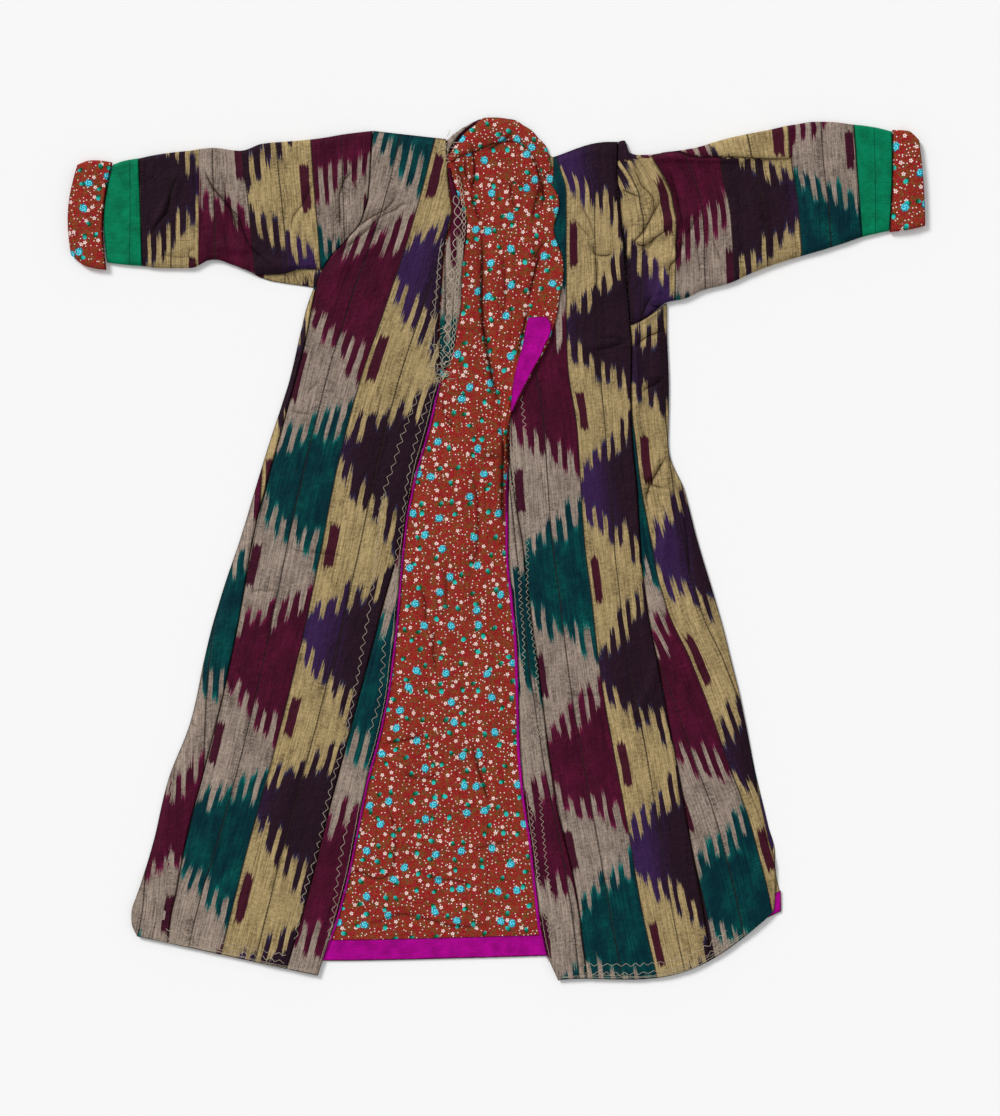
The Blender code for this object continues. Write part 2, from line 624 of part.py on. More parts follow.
def add_neck():
    """The lapel with its facing, the collar's bands and the gusset."""
    even = np.linspace(0, 1, 5)
    lapel_across = np.array([0, 0.06, 0.14, 0.24, 0.35, 0.48, 0.62, 0.76, 0.9, 1])
    add_strip("right_lapel", LAPEL, CELL, lapel_across, lapel_low, lapel_thick, "flowered")

    def on_lapel(x, y, across):
        return np.full_like(x, LAPEL_LOW + 1.4 + 1.0 + 1.6 + LAYER_GAP)

    def facing_wall(x, y, across):
        return np.full_like(x, FACING_WALL)

    add_strip("right_lapel_facing", LAPEL_FACING, 24, np.linspace(0, 1, 3), on_lapel, facing_wall, "magenta")

    def on_lining(x, y, across):
        return np.full_like(x, FRONT_LOW)

    def band_thick(x, y, across):
        return 1.4 + 1.4 * np.sin(math.pi * across)

    def neck_thick(x, y, across):
        return 1.4 + 4.0 * np.sin(math.pi * across) ** 0.8 * smooth_step((80 - np.abs(x)) / 40)

    def gusset_low(x, y, across):
        return np.full_like(x, LAYER_GAP)

    add_strip("left_collar_band", COLLAR_BAND, CELL, even, on_lining, band_thick, "ikat")
    add_strip("neck_band", NECK_BAND, 16, even, on_lining, neck_thick, "flowered")
    add_strip("neck_band_outer", NECK_BAND_OUTER, 12, np.linspace(0, 1, 3), on_lining, band_thick, "ikat")
    add_strip("left_underarm_gusset", GUSSET, CELL, np.linspace(0, 1, 4), gusset_low, band_thick, "ikat")


def main():
    for old in list(bpy.data.objects):
        bpy.data.objects.remove(old)
    left = add_fronts("left", LEFT_FRONT)
    right = add_fronts("right", RIGHT_FRONT)
    add_edge_facing("left", left)
    add_edge_facing("right", right)
    add_back(left, right)
    back_y, left_x, right_x = back_sides(left, right)
    add_sleeves("left", left, back_y, left_x, LEFT_SLEEVE, LEFT_END, LEFT_CUFF)
    add_sleeves("right", right, back_y, right_x, RIGHT_SLEEVE, RIGHT_END, RIGHT_CUFF)
    add_neck()


main()
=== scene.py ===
import math
import time
from collections import namedtuple

import bpy
import numpy as np
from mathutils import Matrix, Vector
from mathutils.bvhtree import BVHTree


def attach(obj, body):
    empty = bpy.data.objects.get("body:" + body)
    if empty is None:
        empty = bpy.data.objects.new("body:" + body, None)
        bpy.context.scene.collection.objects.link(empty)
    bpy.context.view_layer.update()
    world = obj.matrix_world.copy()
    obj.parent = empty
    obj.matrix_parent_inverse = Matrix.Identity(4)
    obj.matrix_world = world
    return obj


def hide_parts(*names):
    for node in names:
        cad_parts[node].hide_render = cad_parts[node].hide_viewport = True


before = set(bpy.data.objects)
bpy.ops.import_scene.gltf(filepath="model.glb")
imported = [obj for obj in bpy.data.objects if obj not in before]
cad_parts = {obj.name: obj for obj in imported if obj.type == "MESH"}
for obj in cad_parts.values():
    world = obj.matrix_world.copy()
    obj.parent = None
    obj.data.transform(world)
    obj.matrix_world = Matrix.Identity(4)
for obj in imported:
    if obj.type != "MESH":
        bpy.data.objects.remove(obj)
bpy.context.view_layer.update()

started = time.time()

# All sizes here are in millimetres, and meshes are made in metres. x runs across from the middle, y up
# the robe from the middle of its length, z up from the surface. Left and right are as seen from above.
metres = 0.001

# Layers: where each cloth's underside is and how thick it is, how far in from its outer edge a front
# thins, how far apart panels are at a seam, and how high the quilting stands.
layers = {
    "gussetLow": 0.3, "backWall": 1.8, "liningLow": 2.1, "liningWall": 1.4, "frontLow": 3.9,
    "frontWall": 2.0, "edgeWall": 1.3, "lapelLow": 7.5, "lapelTop": 11.8,
    "roundOff": 12.0, "seamGap": 0.3, "quiltRise": 1.0,
}


def say(stage):
    # one line for each stage, with the time since the start
    print(f"{stage}: {time.time() - started:.1f} s")


# Curves and grids


def smoothStep(value):
    # 0 below 0, 1 above 1, a smooth rise between
    clipped = np.clip(value, 0, 1)
    return clipped * clipped * (3 - 2 * clipped)


def smoothThrough(knots, values, at):
    # a cubic curve through the values, straight on past its ends, that never swings past them
    knots = np.asarray(knots, float)
    values = np.asarray(values, float)
    step = np.diff(knots)
    slope = np.diff(values) / step
    tangent = np.zeros(len(knots))
    product = slope[:-1] * slope[1:]
    total = slope[:-1] + slope[1:]
    turning = (product <= 0) | (total == 0)
    tangent[1:-1] = np.where(turning, 0, 2 * product / np.where(turning, 1, total))
    tangent[0] = slope[0]
    tangent[-1] = slope[-1]
    index = np.clip(np.searchsorted(knots, at, side="right") - 1, 0, len(step) - 1)
    part = (at - knots[index]) / step[index]
    flip = 1 - part
    start = values[index] + tangent[index] * step[index] * part
    end = values[index + 1] - tangent[index + 1] * step[index] * flip
    blend = smoothStep(part)
    return start * (1 - blend) + end * blend


def through(rows, key, name, at):
    # one named column of a table as a smooth curve of another, for rows that run down from the top
    keys = -np.array([getattr(row, key) for row in rows], float)
    return smoothThrough(keys, np.array([getattr(row, name) for row in rows], float), -at)


def spread(length, step, fine=(0.5, 1.2, 2.2, 3.4)):
    # places from 0 to length, about a step apart, with finer ones near both ends for a rounded edge
    fine = [f for f in fine if f < length / 3]
    first, last = (fine[-1], length - fine[-1]) if fine else (0, length)
    middle = np.linspace(first, last, max(2, int(round((last - first) / step)) + 1))
    ends = np.array([0.0] + fine[:-1]) if fine else np.array([])
    return np.concatenate([ends, middle, length - ends[::-1]])


def loft(kind, rows, step, path):
    # each column of the table as a smooth curve, at places along the path that its rows' middles make
    table = np.array(rows, float)
    knots = np.append(0, np.cumsum(path(table)))
    at = spread(knots[-1], step)
    return at, kind(*(smoothThrough(knots, table[:, i], at) for i in range(table.shape[1])))


def downPath(table):
    # how far apart two rows are in height, their first two columns' mean
    return np.abs(np.diff(table[:, :2].mean(1)))


def middlePath(table):
    # how far apart the middles of two rows are, each between its two ends
    middle = (table[:, 0:2] + table[:, 2:4]) / 2
    return np.hypot(*np.diff(middle, axis=0).T)


def softNoise(x, y, size, seed):
    # random heights from -1 to 1 at the corners of squares of this size, joined smoothly
    column, row = np.floor(x / size), np.floor(y / size)
    across, down = smoothStep(x / size - column), smoothStep(y / size - row)

    def corner(right, low):
        # a large sine of its place, without its whole number
        mixed = np.sin((column + right) * 127.1 + (row + low) * 311.7 + seed * 74.7) * 43758.5453
        return mixed - np.floor(mixed)

    top = corner(0, 0) * (1 - across) + corner(1, 0) * across
    low = corner(0, 1) * (1 - across) + corner(1, 1) * across
    return 2 * (top * (1 - down) + low * down) - 1


def rumple(x, y, amount, seed, turn=0.0, stretch=2.2):
    # uneven cloth: three sizes of soft noise, stretched along a direction
    along = x * math.cos(turn) + y * math.sin(turn)
    across = y * math.cos(turn) - x * math.sin(turn)
    total = np.zeros_like(x)
    for size, share in ((46, 1.0), (19, 0.5), (8, 0.24)):
        total += share * softNoise(along / stretch, across, size, seed + size)
    return amount * total


# Creases and folds. A fold is a trough along points, with how wide it is and its rise, which is below zero.
# A crease runs from its first point to its third, drawn towards its second. Left and right are its widths
# on either side, looking along it: a narrow side is a sharp edge. A rise below zero is a trough, and a
# narrow trough has a thin line of painted shadow.
Crease = namedtuple("Crease", "x0 y0 x1 y1 x2 y2 left right rise")
Fold = namedtuple("Fold", "wide rise points")
farFromFold = 5.0
# how far a crease reaches, in its widths, the share of its length in which it fades and what is left at its
# ends; then its painted shadow line: how wide for which trough, how deep the darkest trough is, how wide the
# widest one is, how soft its middle is, and how lines near each other keep apart
creaseLooks = {
    "reach": 3, "fade": 0.25, "atEnds": 0.15,
    "line": 1.7, "lineFor": 4.5, "darkest": 2.2, "widest": 10, "core": 0.3, "apart": 0.4, "between": 0.8,
}


def creaseRows(rows):
    # nine values make a crease, three a fold
    return [Crease(*row) if len(row) == 9 else Fold(*row) for row in rows]


creases = creaseRows([
    (-140, 499, -191, 461, -241, 431, 12, 7, 4.0), (-172, 506, -210, 474, -244, 448, 9, 6, 2.6),
    (-152, 454, -195, 434, -247, 390, 10, 8, 2.0), (-181, 593, -195, 535, -210, 460, 16, 5, 2.4),
    (-423, 557, -398, 512, -365, 455, 10, 7, 3.4), (-459, 550, -476, 499, -502, 455, 10, 5, 2.9),
    (-427, 567, -407, 512, -363, 465, 4, 9, 3.2), (-282, 499, -288, 477, -292, 451, 9, 6, 3.0),
    (-268, 550, -259, 489, -276, 416, 12, 9, 1.8), (-350, 422, -317, 410, -285, 405, 6, 9, 2.4),
    (-410, 442, -384, 431, -340, 434, 8, 6, 2.2), (-488, 535, -430, 547, -357, 541, 12, 10, 1.5),
    (230, 557, 243, 506, 208, 460, 9, 6, 3.6), (260, 463, 223, 447, 182, 434, 5, 12, 4.6),
    (281, 486, 243, 471, 199, 465, 9, 7, 2.6), (295, 434, 254, 416, 208, 407, 10, 8, 2.2),
    (102, 289, 150, 294, 194, 306, 12, 9, 2.0), (109, 361, 150, 373, 191, 376, 12, 9, 1.4),
    (167, 526, 191, 515, 217, 509, 6, 5, 2.6), (179, 506, 179, 454, 189, 396, 9, 4, 3.4),
    (249, 407, 234, 376, 223, 347, 7, 5, 2.4), (202, 329, 225, 335, 249, 355, 10, 4, 3.0),
    (256, 468, 269, 422, 259, 361, 4, 8, 2.4), (198, 318, 208, 216, 199, 115, 5, 9, 2.6),
    (199, 115, 205, 42, 217, -30, 4, 8, 2.4), (202, 567, 324, 558, 449, 568, 14, 3, 3.4),
    (359, 521, 382, 477, 399, 416, 12, 8, 1.8), (457, 602, 449, 535, 466, 454, 10, 8, 1.8),
    (295, 535, 318, 477, 327, 390, 14, 9, 1.6), (241, 141, 250, 65, 239, -25, 10, 4, 3.2),
    (239, -25, 237, -68, 231, -120, 8, 4, 2.4), (240, 144, 223, 109, 208, 71, 6, 6, 2.2),
    (243, -146, 220, -204, 194, -254, 10, 7, 2.2), (223, 280, 231, 216, 225, 144, 8, 6, 1.6),
    (165, -294, 195, -289, 225, -294, 4, 6, 1.8), (109, -202, 133, -207, 156, -206, 4, 4, 1.0),
    (109, -508, 133, -505, 156, -506, 4, 4, 1.0), (263, -344, 286, -341, 315, -334, 4, 4, 1.2),
    (-285, 115, -299, 13, -340, -132, 16, 12, 1.5), (-198, 100, -220, -16, -249, -132, 16, 12, 1.2),
    (-357, -219, -384, -349, -430, -480, 18, 14, 1.5), (-276, -248, -311, -393, -340, -509, 16, 12, 1.2),
    (70, 187, 86, 71, 101, -59, 16, 12, 1.3), (150, 42, 167, -88, 196, -219, 16, 12, 1.4),
    (133, -248, 153, -378, 182, -509, 16, 12, 1.3), (295, -219, 327, -349, 356, -480, 16, 12, 1.5),
    (-140, 361, -181, 303, -241, 216, 18, 14, 1.2), (-450, -242, -444, -252, -430, -260, 4, 4, -1.2),
    (-357, -596, -285, -613, -241, -625, 5, 7, 1.0), (150, -613, 223, -616, 295, -599, 5, 7, 1.0),
    (4.0, -2.2, [(-202, 558), (-207, 548), (-217, 539), (-224, 525), (-228, 506), (-227, 477), (-231, 451)]),
    (3.4, -1.6, [(-186, 579), (-192, 557), (-189, 539), (-196, 515)]),
    (4.0, -2.0, [(-141, 523), (-157, 496), (-170, 487), (-192, 474), (-212, 454)]),
    (3.4, -1.8, [(-111, 499), (-134, 500), (-146, 492), (-163, 484), (-186, 463), (-220, 434), (-237, 420)]),
    (3.4, -1.3, [(-211, 542), (-205, 528), (-198, 515)]),
    (3.6, -1.4, [(-239, 505), (-236, 465), (-247, 416)]),
    (4.4, -2.4, [(-426, 561), (-415, 531), (-399, 509), (-382, 484), (-376, 457), (-372, 439)]),
    (3.6, -1.9, [(-405, 529), (-385, 494), (-372, 477), (-362, 448), (-346, 428), (-328, 413), (-317, 399)]),
    (4.4, -2.3, [(-455, 550), (-472, 515), (-476, 494), (-491, 471), (-507, 447)]),
    (3.4, -1.7, [(-431, 436), (-444, 432), (-446, 425), (-426, 415)]),
    (3.2, -1.2, [(-485, 426), (-463, 423), (-446, 422)]),
    (3.6, -1.8, [(-260, 535), (-272, 518), (-281, 499), (-297, 468), (-294, 451)]),
    (3.2, -1.2, [(-560, 550), (-566, 526), (-558, 506)]),
    (3.2, -2.6, [(141, 448), (140, 436), (146, 426), (157, 425), (172, 434)]),
    (3.2, -1.4, [(121, 500), (130, 484), (138, 464), (143, 445)]),
    (3.0, -1.3, [(109, 481), (123, 465), (138, 448)]),
    (3.0, -1.5, [(144, 428), (146, 405), (143, 376)]),
    (4.0, -2.6, [(185, 435), (207, 454), (225, 483), (233, 497), (241, 510)]),
    (3.6, -1.9, [(225, 481), (227, 499), (223, 513), (210, 526), (205, 538), (194, 558)]),
    (4.0, -2.6, [(208, 422), (221, 441), (231, 451), (259, 468)]),
    (3.4, -2.2, [(198, 445), (211, 439), (227, 447)]),
    (3.4, -2.0, [(178, 522), (191, 516), (210, 508)]),
    (4.4, -2.5, [(257, 470), (262, 455), (259, 441), (263, 428), (257, 416), (250, 407), (253, 387)]),
    (4.4, -1.8, [(246, 558), (256, 528), (265, 490), (270, 458)]),
    (4.0, -1.9, [(292, 487), (278, 458), (266, 435), (262, 419)]),
    (3.6, -1.7, [(227, 566), (241, 538), (256, 500), (260, 468)]),
    (3.2, -1.3, [(285, 448), (292, 420), (294, 396)]),
    (3.2, -1.2, [(310, 455), (326, 412)]),
    (4.6, -2.4, [(228, 371), (215, 351), (208, 329)]),
    (4.4, -2.0, [(249, 357), (234, 351), (220, 355)]),
    (4.0, -2.4, [(199, 289), (210, 302), (231, 313), (249, 320)]),
    (4.0, -2.0, [(210, 223), (214, 231), (228, 238), (244, 251)]),
    (3.6, -1.5, [(141, 287), (165, 293), (189, 300)]),
    (3.6, -1.3, [(144, 307), (167, 306), (191, 302)]),
    (4.4, -2.2, [(249, 141), (231, 109), (220, 88), (215, 62)]),
    (3.6, -1.8, [(208, 115), (223, 94), (249, 88)]),
    (4.0, -1.6, [(254, 115), (272, 42), (281, -59)]),
    (3.8, -2.2, [(196, 563), (223, 567), (247, 576), (270, 574), (281, 568), (315, 567), (344, 567),
                 (397, 564), (452, 568)]),
    (4.4, -2.4, [(173, 547), (178, 512), (182, 465), (188, 422), (189, 361)]),
    (3.0, -1.6, [(-305, 399), (-298, 383)]),
    (3.0, -1.6, [(-294, 402), (-286, 381)]),
    (3.0, -1.4, [(-283, 405), (-276, 387)]),
    (3.0, -1.4, [(-273, 403), (-266, 383)]),
    (3.0, -1.3, [(-276, 223), (-268, 233), (-256, 244)]),
    (3.0, -1.2, [(-301, 203), (-283, 197), (-266, 196)]),
    (3.0, -1.1, [(-311, 6), (-282, -3), (-241, -7), (-210, -13)]),
    (3.0, -1.1, [(-363, -68), (-340, -59), (-312, -62)]),
    (3.0, -1.0, [(92, -204), (124, -212), (154, -207)]),
])
liningCreases = creaseRows([
    (9.0, -3.2, [(-27, 484), (-21, 428), (-22, 383), (-21, 339), (-14, 291), (-8, 254), (2, 216),
                 (12, 184)]),
    (5.0, -1.8, [(-44, 570), (-46, 550), (-37, 529), (-33, 512)]),
    (5.0, -1.6, [(-65, 564), (-53, 541), (-47, 512)]),
    (4.6, -1.5, [(-36, 115), (-27, 42), (-33, -38)]),
    (4.6, -1.4, [(-162, -364), (-147, -422), (-154, -487)]),
    (4.6, -1.6, [(-220, -463), (-195, -468), (-172, -478), (-147, -458)]),
    (4.6, -1.4, [(-204, -547), (-169, -539), (-136, -529), (-94, -538), (-44, -547), (12, -526)]),
    (4.6, -1.3, [(-112, -463), (-88, -477), (-60, -480), (-27, -494)]),
    (4.6, -1.3, [(-140, -320), (-111, -332), (-75, -318)]),
    (4.6, -1.2, [(-82, -16), (-73, -59), (-82, -106)]),
    (-38, 590, -27, 550, -37, 512, 5, 5, -2.2), (-38, 518, -33, 497, -21, 468, 5, 5, -1.8),
    (46, 576, 67, 547, 65, 500, 5, 5, -2.4), (-56, 512, -49, 489, -44, 465, 5, 5, -2.4),
    (-18, 579, 5, 583, 25, 606, 5, 5, -2.0), (-169, -283, -131, -278, -99, -267, 6, 6, -1.5),
    (-37, -271, -27, -328, -7, -376, 6, 6, -1.7), (-44, -436, -8, -431, 24, -418, 5, 5, -1.3),
    (-111, -54, -98, -83, -105, -109, 6, 6, -1.4), (-91, -106, -96, -146, -86, -184, 6, 6, -1.4),
    (-78, 219, -79, 196, -67, 175, 2, 2, -2.4), (-75, 193, -67, 190, -63, 173, 2, 2, -2.0),
    (-15, -204, -12, -407, -14, -603, 2, 2, -0.8),
    (9.0, -3.2, [(18, 216), (12, 180), (9, 129), (8, 71), (12, 13)]),
    (-38, 187, -56, 42, -44, -132, 12, 10, 1.7), (-65, 71, -82, -74, -70, -248, 14, 12, 1.3),
    (-9, -16, -21, -204, -4, -393, 10, 14, 1.6), (-111, -132, -134, -306, -152, -480, 14, 12, 1.5),
    (-169, -431, -111, -419, -36, -436, 8, 8, 1.2), (-96, -364, -30, -373, 20, -358, 8, 8, 1.0),
    (-227, -509, -140, -497, -65, -515, 8, 8, 1.0), (-65, 567, -24, 581, 12, 596, 7, 6, 1.2),
    (-59, 497, -38, 474, -15, 483, 8, 6, 1.4), (-96, 361, -73, 318, -38, 303, 8, 8, 1.0),
    (-111, 245, -82, 228, -38, 236, 6, 6, 1.0),
])
lapelCreases = creaseRows([
    (9.0, -3.2, [(-27, 484), (-21, 428), (-22, 383), (-21, 339), (-14, 291), (-8, 254), (2, 216),
                 (12, 184)]),
    (5.0, -2.2, [(44, 587), (60, 563), (66, 547), (67, 516), (65, 486)]),
    (4.6, -1.8, [(72, 448), (60, 431), (51, 413)]),
    (4.6, -1.5, [(27, 558), (21, 521), (30, 484)]),
    (4.6, -1.3, [(7, 434), (12, 376), (5, 318)]),
    (65, 436, 53, 397, 44, 352, 6, 6, -2.3), (46, 358, 38, 310, 28, 268, 5, 5, -2.2),
    (34, 416, 22, 361, 12, 296, 7, 7, 1.2), (72, 541, 54, 512, 51, 468, 8, 7, -1.8),
    (2, 521, -7, 463, 2, 376, 8, 8, 1.2),
])


def shaded(dark, fold=None):
    # what a mesh carries for its painted shade: how dark it is, and the nearest fold's painted shadow line
    line, depth = (np.full_like(dark, farFromFold), 0 * dark) if fold is None else fold
    return np.stack([dark, line, depth])


def curveOf(row):
    # the points of a crease's or a fold's curve, and its widths to its left and right
    if isinstance(row, Fold):
        points = np.array(row.points, float)
        run = np.append(0, np.cumsum(np.hypot(*np.diff(points, axis=0).T)))
        at = np.linspace(0, run[-1], 4 * len(points))
        return smoothThrough(run, points[:, 0], at), smoothThrough(run, points[:, 1], at), row.wide, row.wide
    share = np.linspace(0, 1, 9)
    curveX = row.x0 * (1 - share) ** 2 + 2 * row.x1 * share * (1 - share) + row.x2 * share**2
    curveY = row.y0 * (1 - share) ** 2 + 2 * row.y1 * share * (1 - share) + row.y2 * share**2
    return curveX, curveY, row.left, row.right


def creased(x, y, rows):
    # each crease rises as a bell across its curve and fades towards its ends. Also gives, for the painted
    # shadow line along a narrow trough, how far off it each point is, and the line's depth: how dark it is.
    looks = creaseLooks
    rise, depth, nearest, second = (np.zeros_like(x) for i in range(4))
    line = np.full_like(x, farFromFold)
    for row in rows:
        curveX, curveY, left, right = curveOf(row)
        last = len(curveX) - 1
        reach = looks["reach"] * max(left, right)
        near = (x > curveX.min() - reach) & (x < curveX.max() + reach)
        near &= (y > curveY.min() - reach) & (y < curveY.max() + reach)
        if not near.any():
            continue
        nearX, nearY = x[near], y[near]
        best = np.full_like(nearX, 1e9)
        signed = np.zeros_like(nearX)
        place = np.zeros_like(nearX)
        for i in range(last):
            runX, runY = curveX[i + 1] - curveX[i], curveY[i + 1] - curveY[i]
            along = ((nearX - curveX[i]) * runX + (nearY - curveY[i]) * runY) / (runX**2 + runY**2)
            along = np.clip(along, 0, 1)
            awayX, awayY = nearX - curveX[i] - along * runX, nearY - curveY[i] - along * runY
            away = np.hypot(awayX, awayY)
            closer = away < best
            best = np.where(closer, away, best)
            signed = np.where(closer, np.sign(runX * awayY - runY * awayX), signed)
            place = np.where(closer, (i + along) / last, place)
        wide = np.where(signed > 0, left, right)
        ends = smoothStep(place / looks["fade"]) * smoothStep((1 - place) / looks["fade"])
        kept = looks["atEnds"] + (1 - looks["atEnds"]) * ends
        rise[near] += row.rise * kept * np.exp(-((best / wide) ** 2))
        narrow = min(left, right)
        off = signed * best / (looks["line"] * narrow / looks["lineFor"])
        dark = min(1.0, -row.rise / looks["darkest"]) * ends * (narrow <= looks["widest"] and row.rise < 0)
        close = dark / (looks["core"] + off**2)
        before = nearest[near]
        nearer = close > before
        nearest[near] = np.maximum(close, before)
        second[near] = np.maximum(second[near], np.minimum(close, before))
        line[near] = np.where(nearer, np.clip(off, -farFromFold, farFromFold), line[near])
        depth[near] = np.where(nearer, dark, depth[near])
    # halfway between two lines neither is drawn, or a false one would be
    alone = smoothStep((nearest - second) / np.maximum(nearest, 1e-6) / looks["apart"])
    depth *= np.where(np.abs(line) > looks["between"], alone, 1.0)
    return rise, np.stack([line, depth])


# The fronts: a row for each section, from the shoulder to the hem. The first two are its heights at
# the side (the armhole, above the armpit) and at the opening. Then come the places of the side, the
# gore's seam, the wedge's seam and the opening, and how far the section bows down.
FrontRow = namedtuple("FrontRow", "sideY edgeY side gore wedge edge sag")
leftFront = [FrontRow(*row) for row in (
    (606, 594, -179, -179, -73, -73, 0), (564, 564, -182, -182, -72, -72, 0),
    (521, 521, -185, -185, -69, -69, 0), (487, 487, -192, -192, -65, -65, 0),
    (448, 448, -217, -217, -73, -73, 0), (412, 412, -248, -248, -78, -78, 0),
    (376, 376, -266, -262, -80, -80, 0), (318, 318, -283, -273, -83, -83, 0),
    (257, 257, -297, -288, -82, -82, 0), (216, 216, -309, -299, -90, -90, 0),
    (158, 158, -328, -315, -104, -104, 0), (86, 86, -350, -335, -125, -123, 0),
    (13, 13, -372, -353, -139, -135, 0), (-74, -74, -401, -368, -162, -143, 0),
    (-161, -161, -424, -385, -185, -152, 0), (-248, -248, -443, -405, -208, -166, 0),
    (-335, -335, -476, -427, -231, -188, 0), (-419, -425, -496, -449, -254, -206, 0),
    (-494, -516, -518, -464, -276, -227, 0), (-535, -574, -529, -473, -292, -245, 0),
    (-561, -618, -521, -476, -304, -259, 0),
)]
rightFront = [FrontRow(*row) for row in (
    (590, 568, 176, 176, 82, 82, -6), (557, 535, 175, 175, 82, 82, 0),
    (506, 499, 178, 178, 72, 72, 0), (463, 455, 182, 182, 65, 65, 0),
    (419, 419, 186, 186, 60, 60, 0), (361, 361, 191, 191, 53, 53, 0),
    (320, 320, 247, 194, 44, 44, 0), (296, 296, 247, 196, 38, 38, 0),
    (216, 216, 250, 195, 22, 22, 0), (158, 158, 249, 197, 19, 17, 0),
    (86, 86, 272, 204, 25, 17, 0), (13, 13, 291, 208, 37, 17, 0),
    (-74, -74, 317, 217, 47, 24, 0), (-161, -161, 340, 233, 59, 31, 0),
    (-248, -248, 360, 249, 70, 33, 0), (-335, -335, 376, 266, 81, 38, 0),
    (-419, -422, 394, 281, 99, 50, 3), (-473, -509, 404, 295, 117, 60, 13),
    (-516, -574, 403, 305, 125, 70, 29), (-535, -625, 391, 311, 131, 89, 42),
)]
# Where the gore and the wedge start, how much higher the gore's corner under the arm stands, and the skew:
# above 1 it moves the lowest place of the hem's bow towards the side.
fronts = {
    "left": {"rows": leftFront, "armpitY": 376, "armpitLift": 0, "wedgeY": 86, "skew": 1.0},
    "right": {"rows": rightFront, "armpitY": 323.5, "armpitLift": 32.5, "wedgeY": 158, "skew": 1.3},
}
hem = {"left": (-523, -550), "right": (413, -525), "sag": 56, "facing": 31, "facingInset": 8,
       "wave": 0.25, "waveLong": 9.0, "rumple": 0.16, "shadow": 0.7}


def backHem(x):
    # the height of the hem: the line between its ends less a sag, 1 minus the fourth power of the distance
    # from the middle
    share = np.clip((x - hem["left"][0]) / (hem["right"][0] - hem["left"][0]), 0, 1)
    straight = hem["left"][1] + (hem["right"][1] - hem["left"][1]) * share
    return straight - hem["sag"] * (1 - np.abs(2 * share - 1) ** 4)


def edgeDistance(x, y):
    # how far each point of a grid is from the piece's edge
    def fromEnds(step):
        # along each row, how far each point is from its nearer end
        run = np.concatenate([np.zeros_like(step[:, :1]), np.cumsum(step, 1)], 1)
        return np.minimum(run, run[:, -1:] - run)

    across = fromEnds(np.hypot(np.diff(x, axis=1), np.diff(y, axis=1)))
    down = fromEnds(np.hypot(np.diff(x, axis=0), np.diff(y, axis=0)).T).T
    return np.minimum(across, down)


def roundedEdge(x, y, softness):
    # 1 inside the piece, falling in a quarter circle to 0.3 over its outer millimetres
    near = np.clip(edgeDistance(x, y) / softness, 0, 1)
    return 0.3 + 0.7 * np.sqrt(1 - (1 - near) ** 2)


def edgeShadow(x, y, reach=1.2):
    # 1 at the piece's edge, falling to 0 inside as a bell
    return np.exp(-((edgeDistance(x, y) / reach) ** 2))


quiltLooks = {"round": 0.55, "pucker": 0.16, "stitch": 1.45, "nearSeam": 0.22}


def quilted(fraction, channels, y):
    # soft channels between rows of stitches: the size of a sine to a power below 1, with small waves where
    # the stitches pull
    wave = np.abs(np.sin(math.pi * channels * fraction))
    pucker = quiltLooks["pucker"] * np.sin(y / quiltLooks["stitch"]) * np.exp(-wave / quiltLooks["nearSeam"])
    return wave ** quiltLooks["round"] * layers["quiltRise"] + pucker


# Where a front thins above the hem and lies under the lapel, each as a height or a place across and how
# gradually, and how much its creases, its rumples and its filling raise it
frontLooks = {
    "armpitFade": 200, "armpitBend": 1.3, "narrowest": 0.4,
    "aboveHem": (110, 30), "lapelX": (106, 12), "lapelY": (120, 30),
    "creases": 1.25, "rumple": 0.5, "filling": 0.3, "edgeRound": 2.6, "reliefRound": 5.0, "thinnest": 0.5,
}


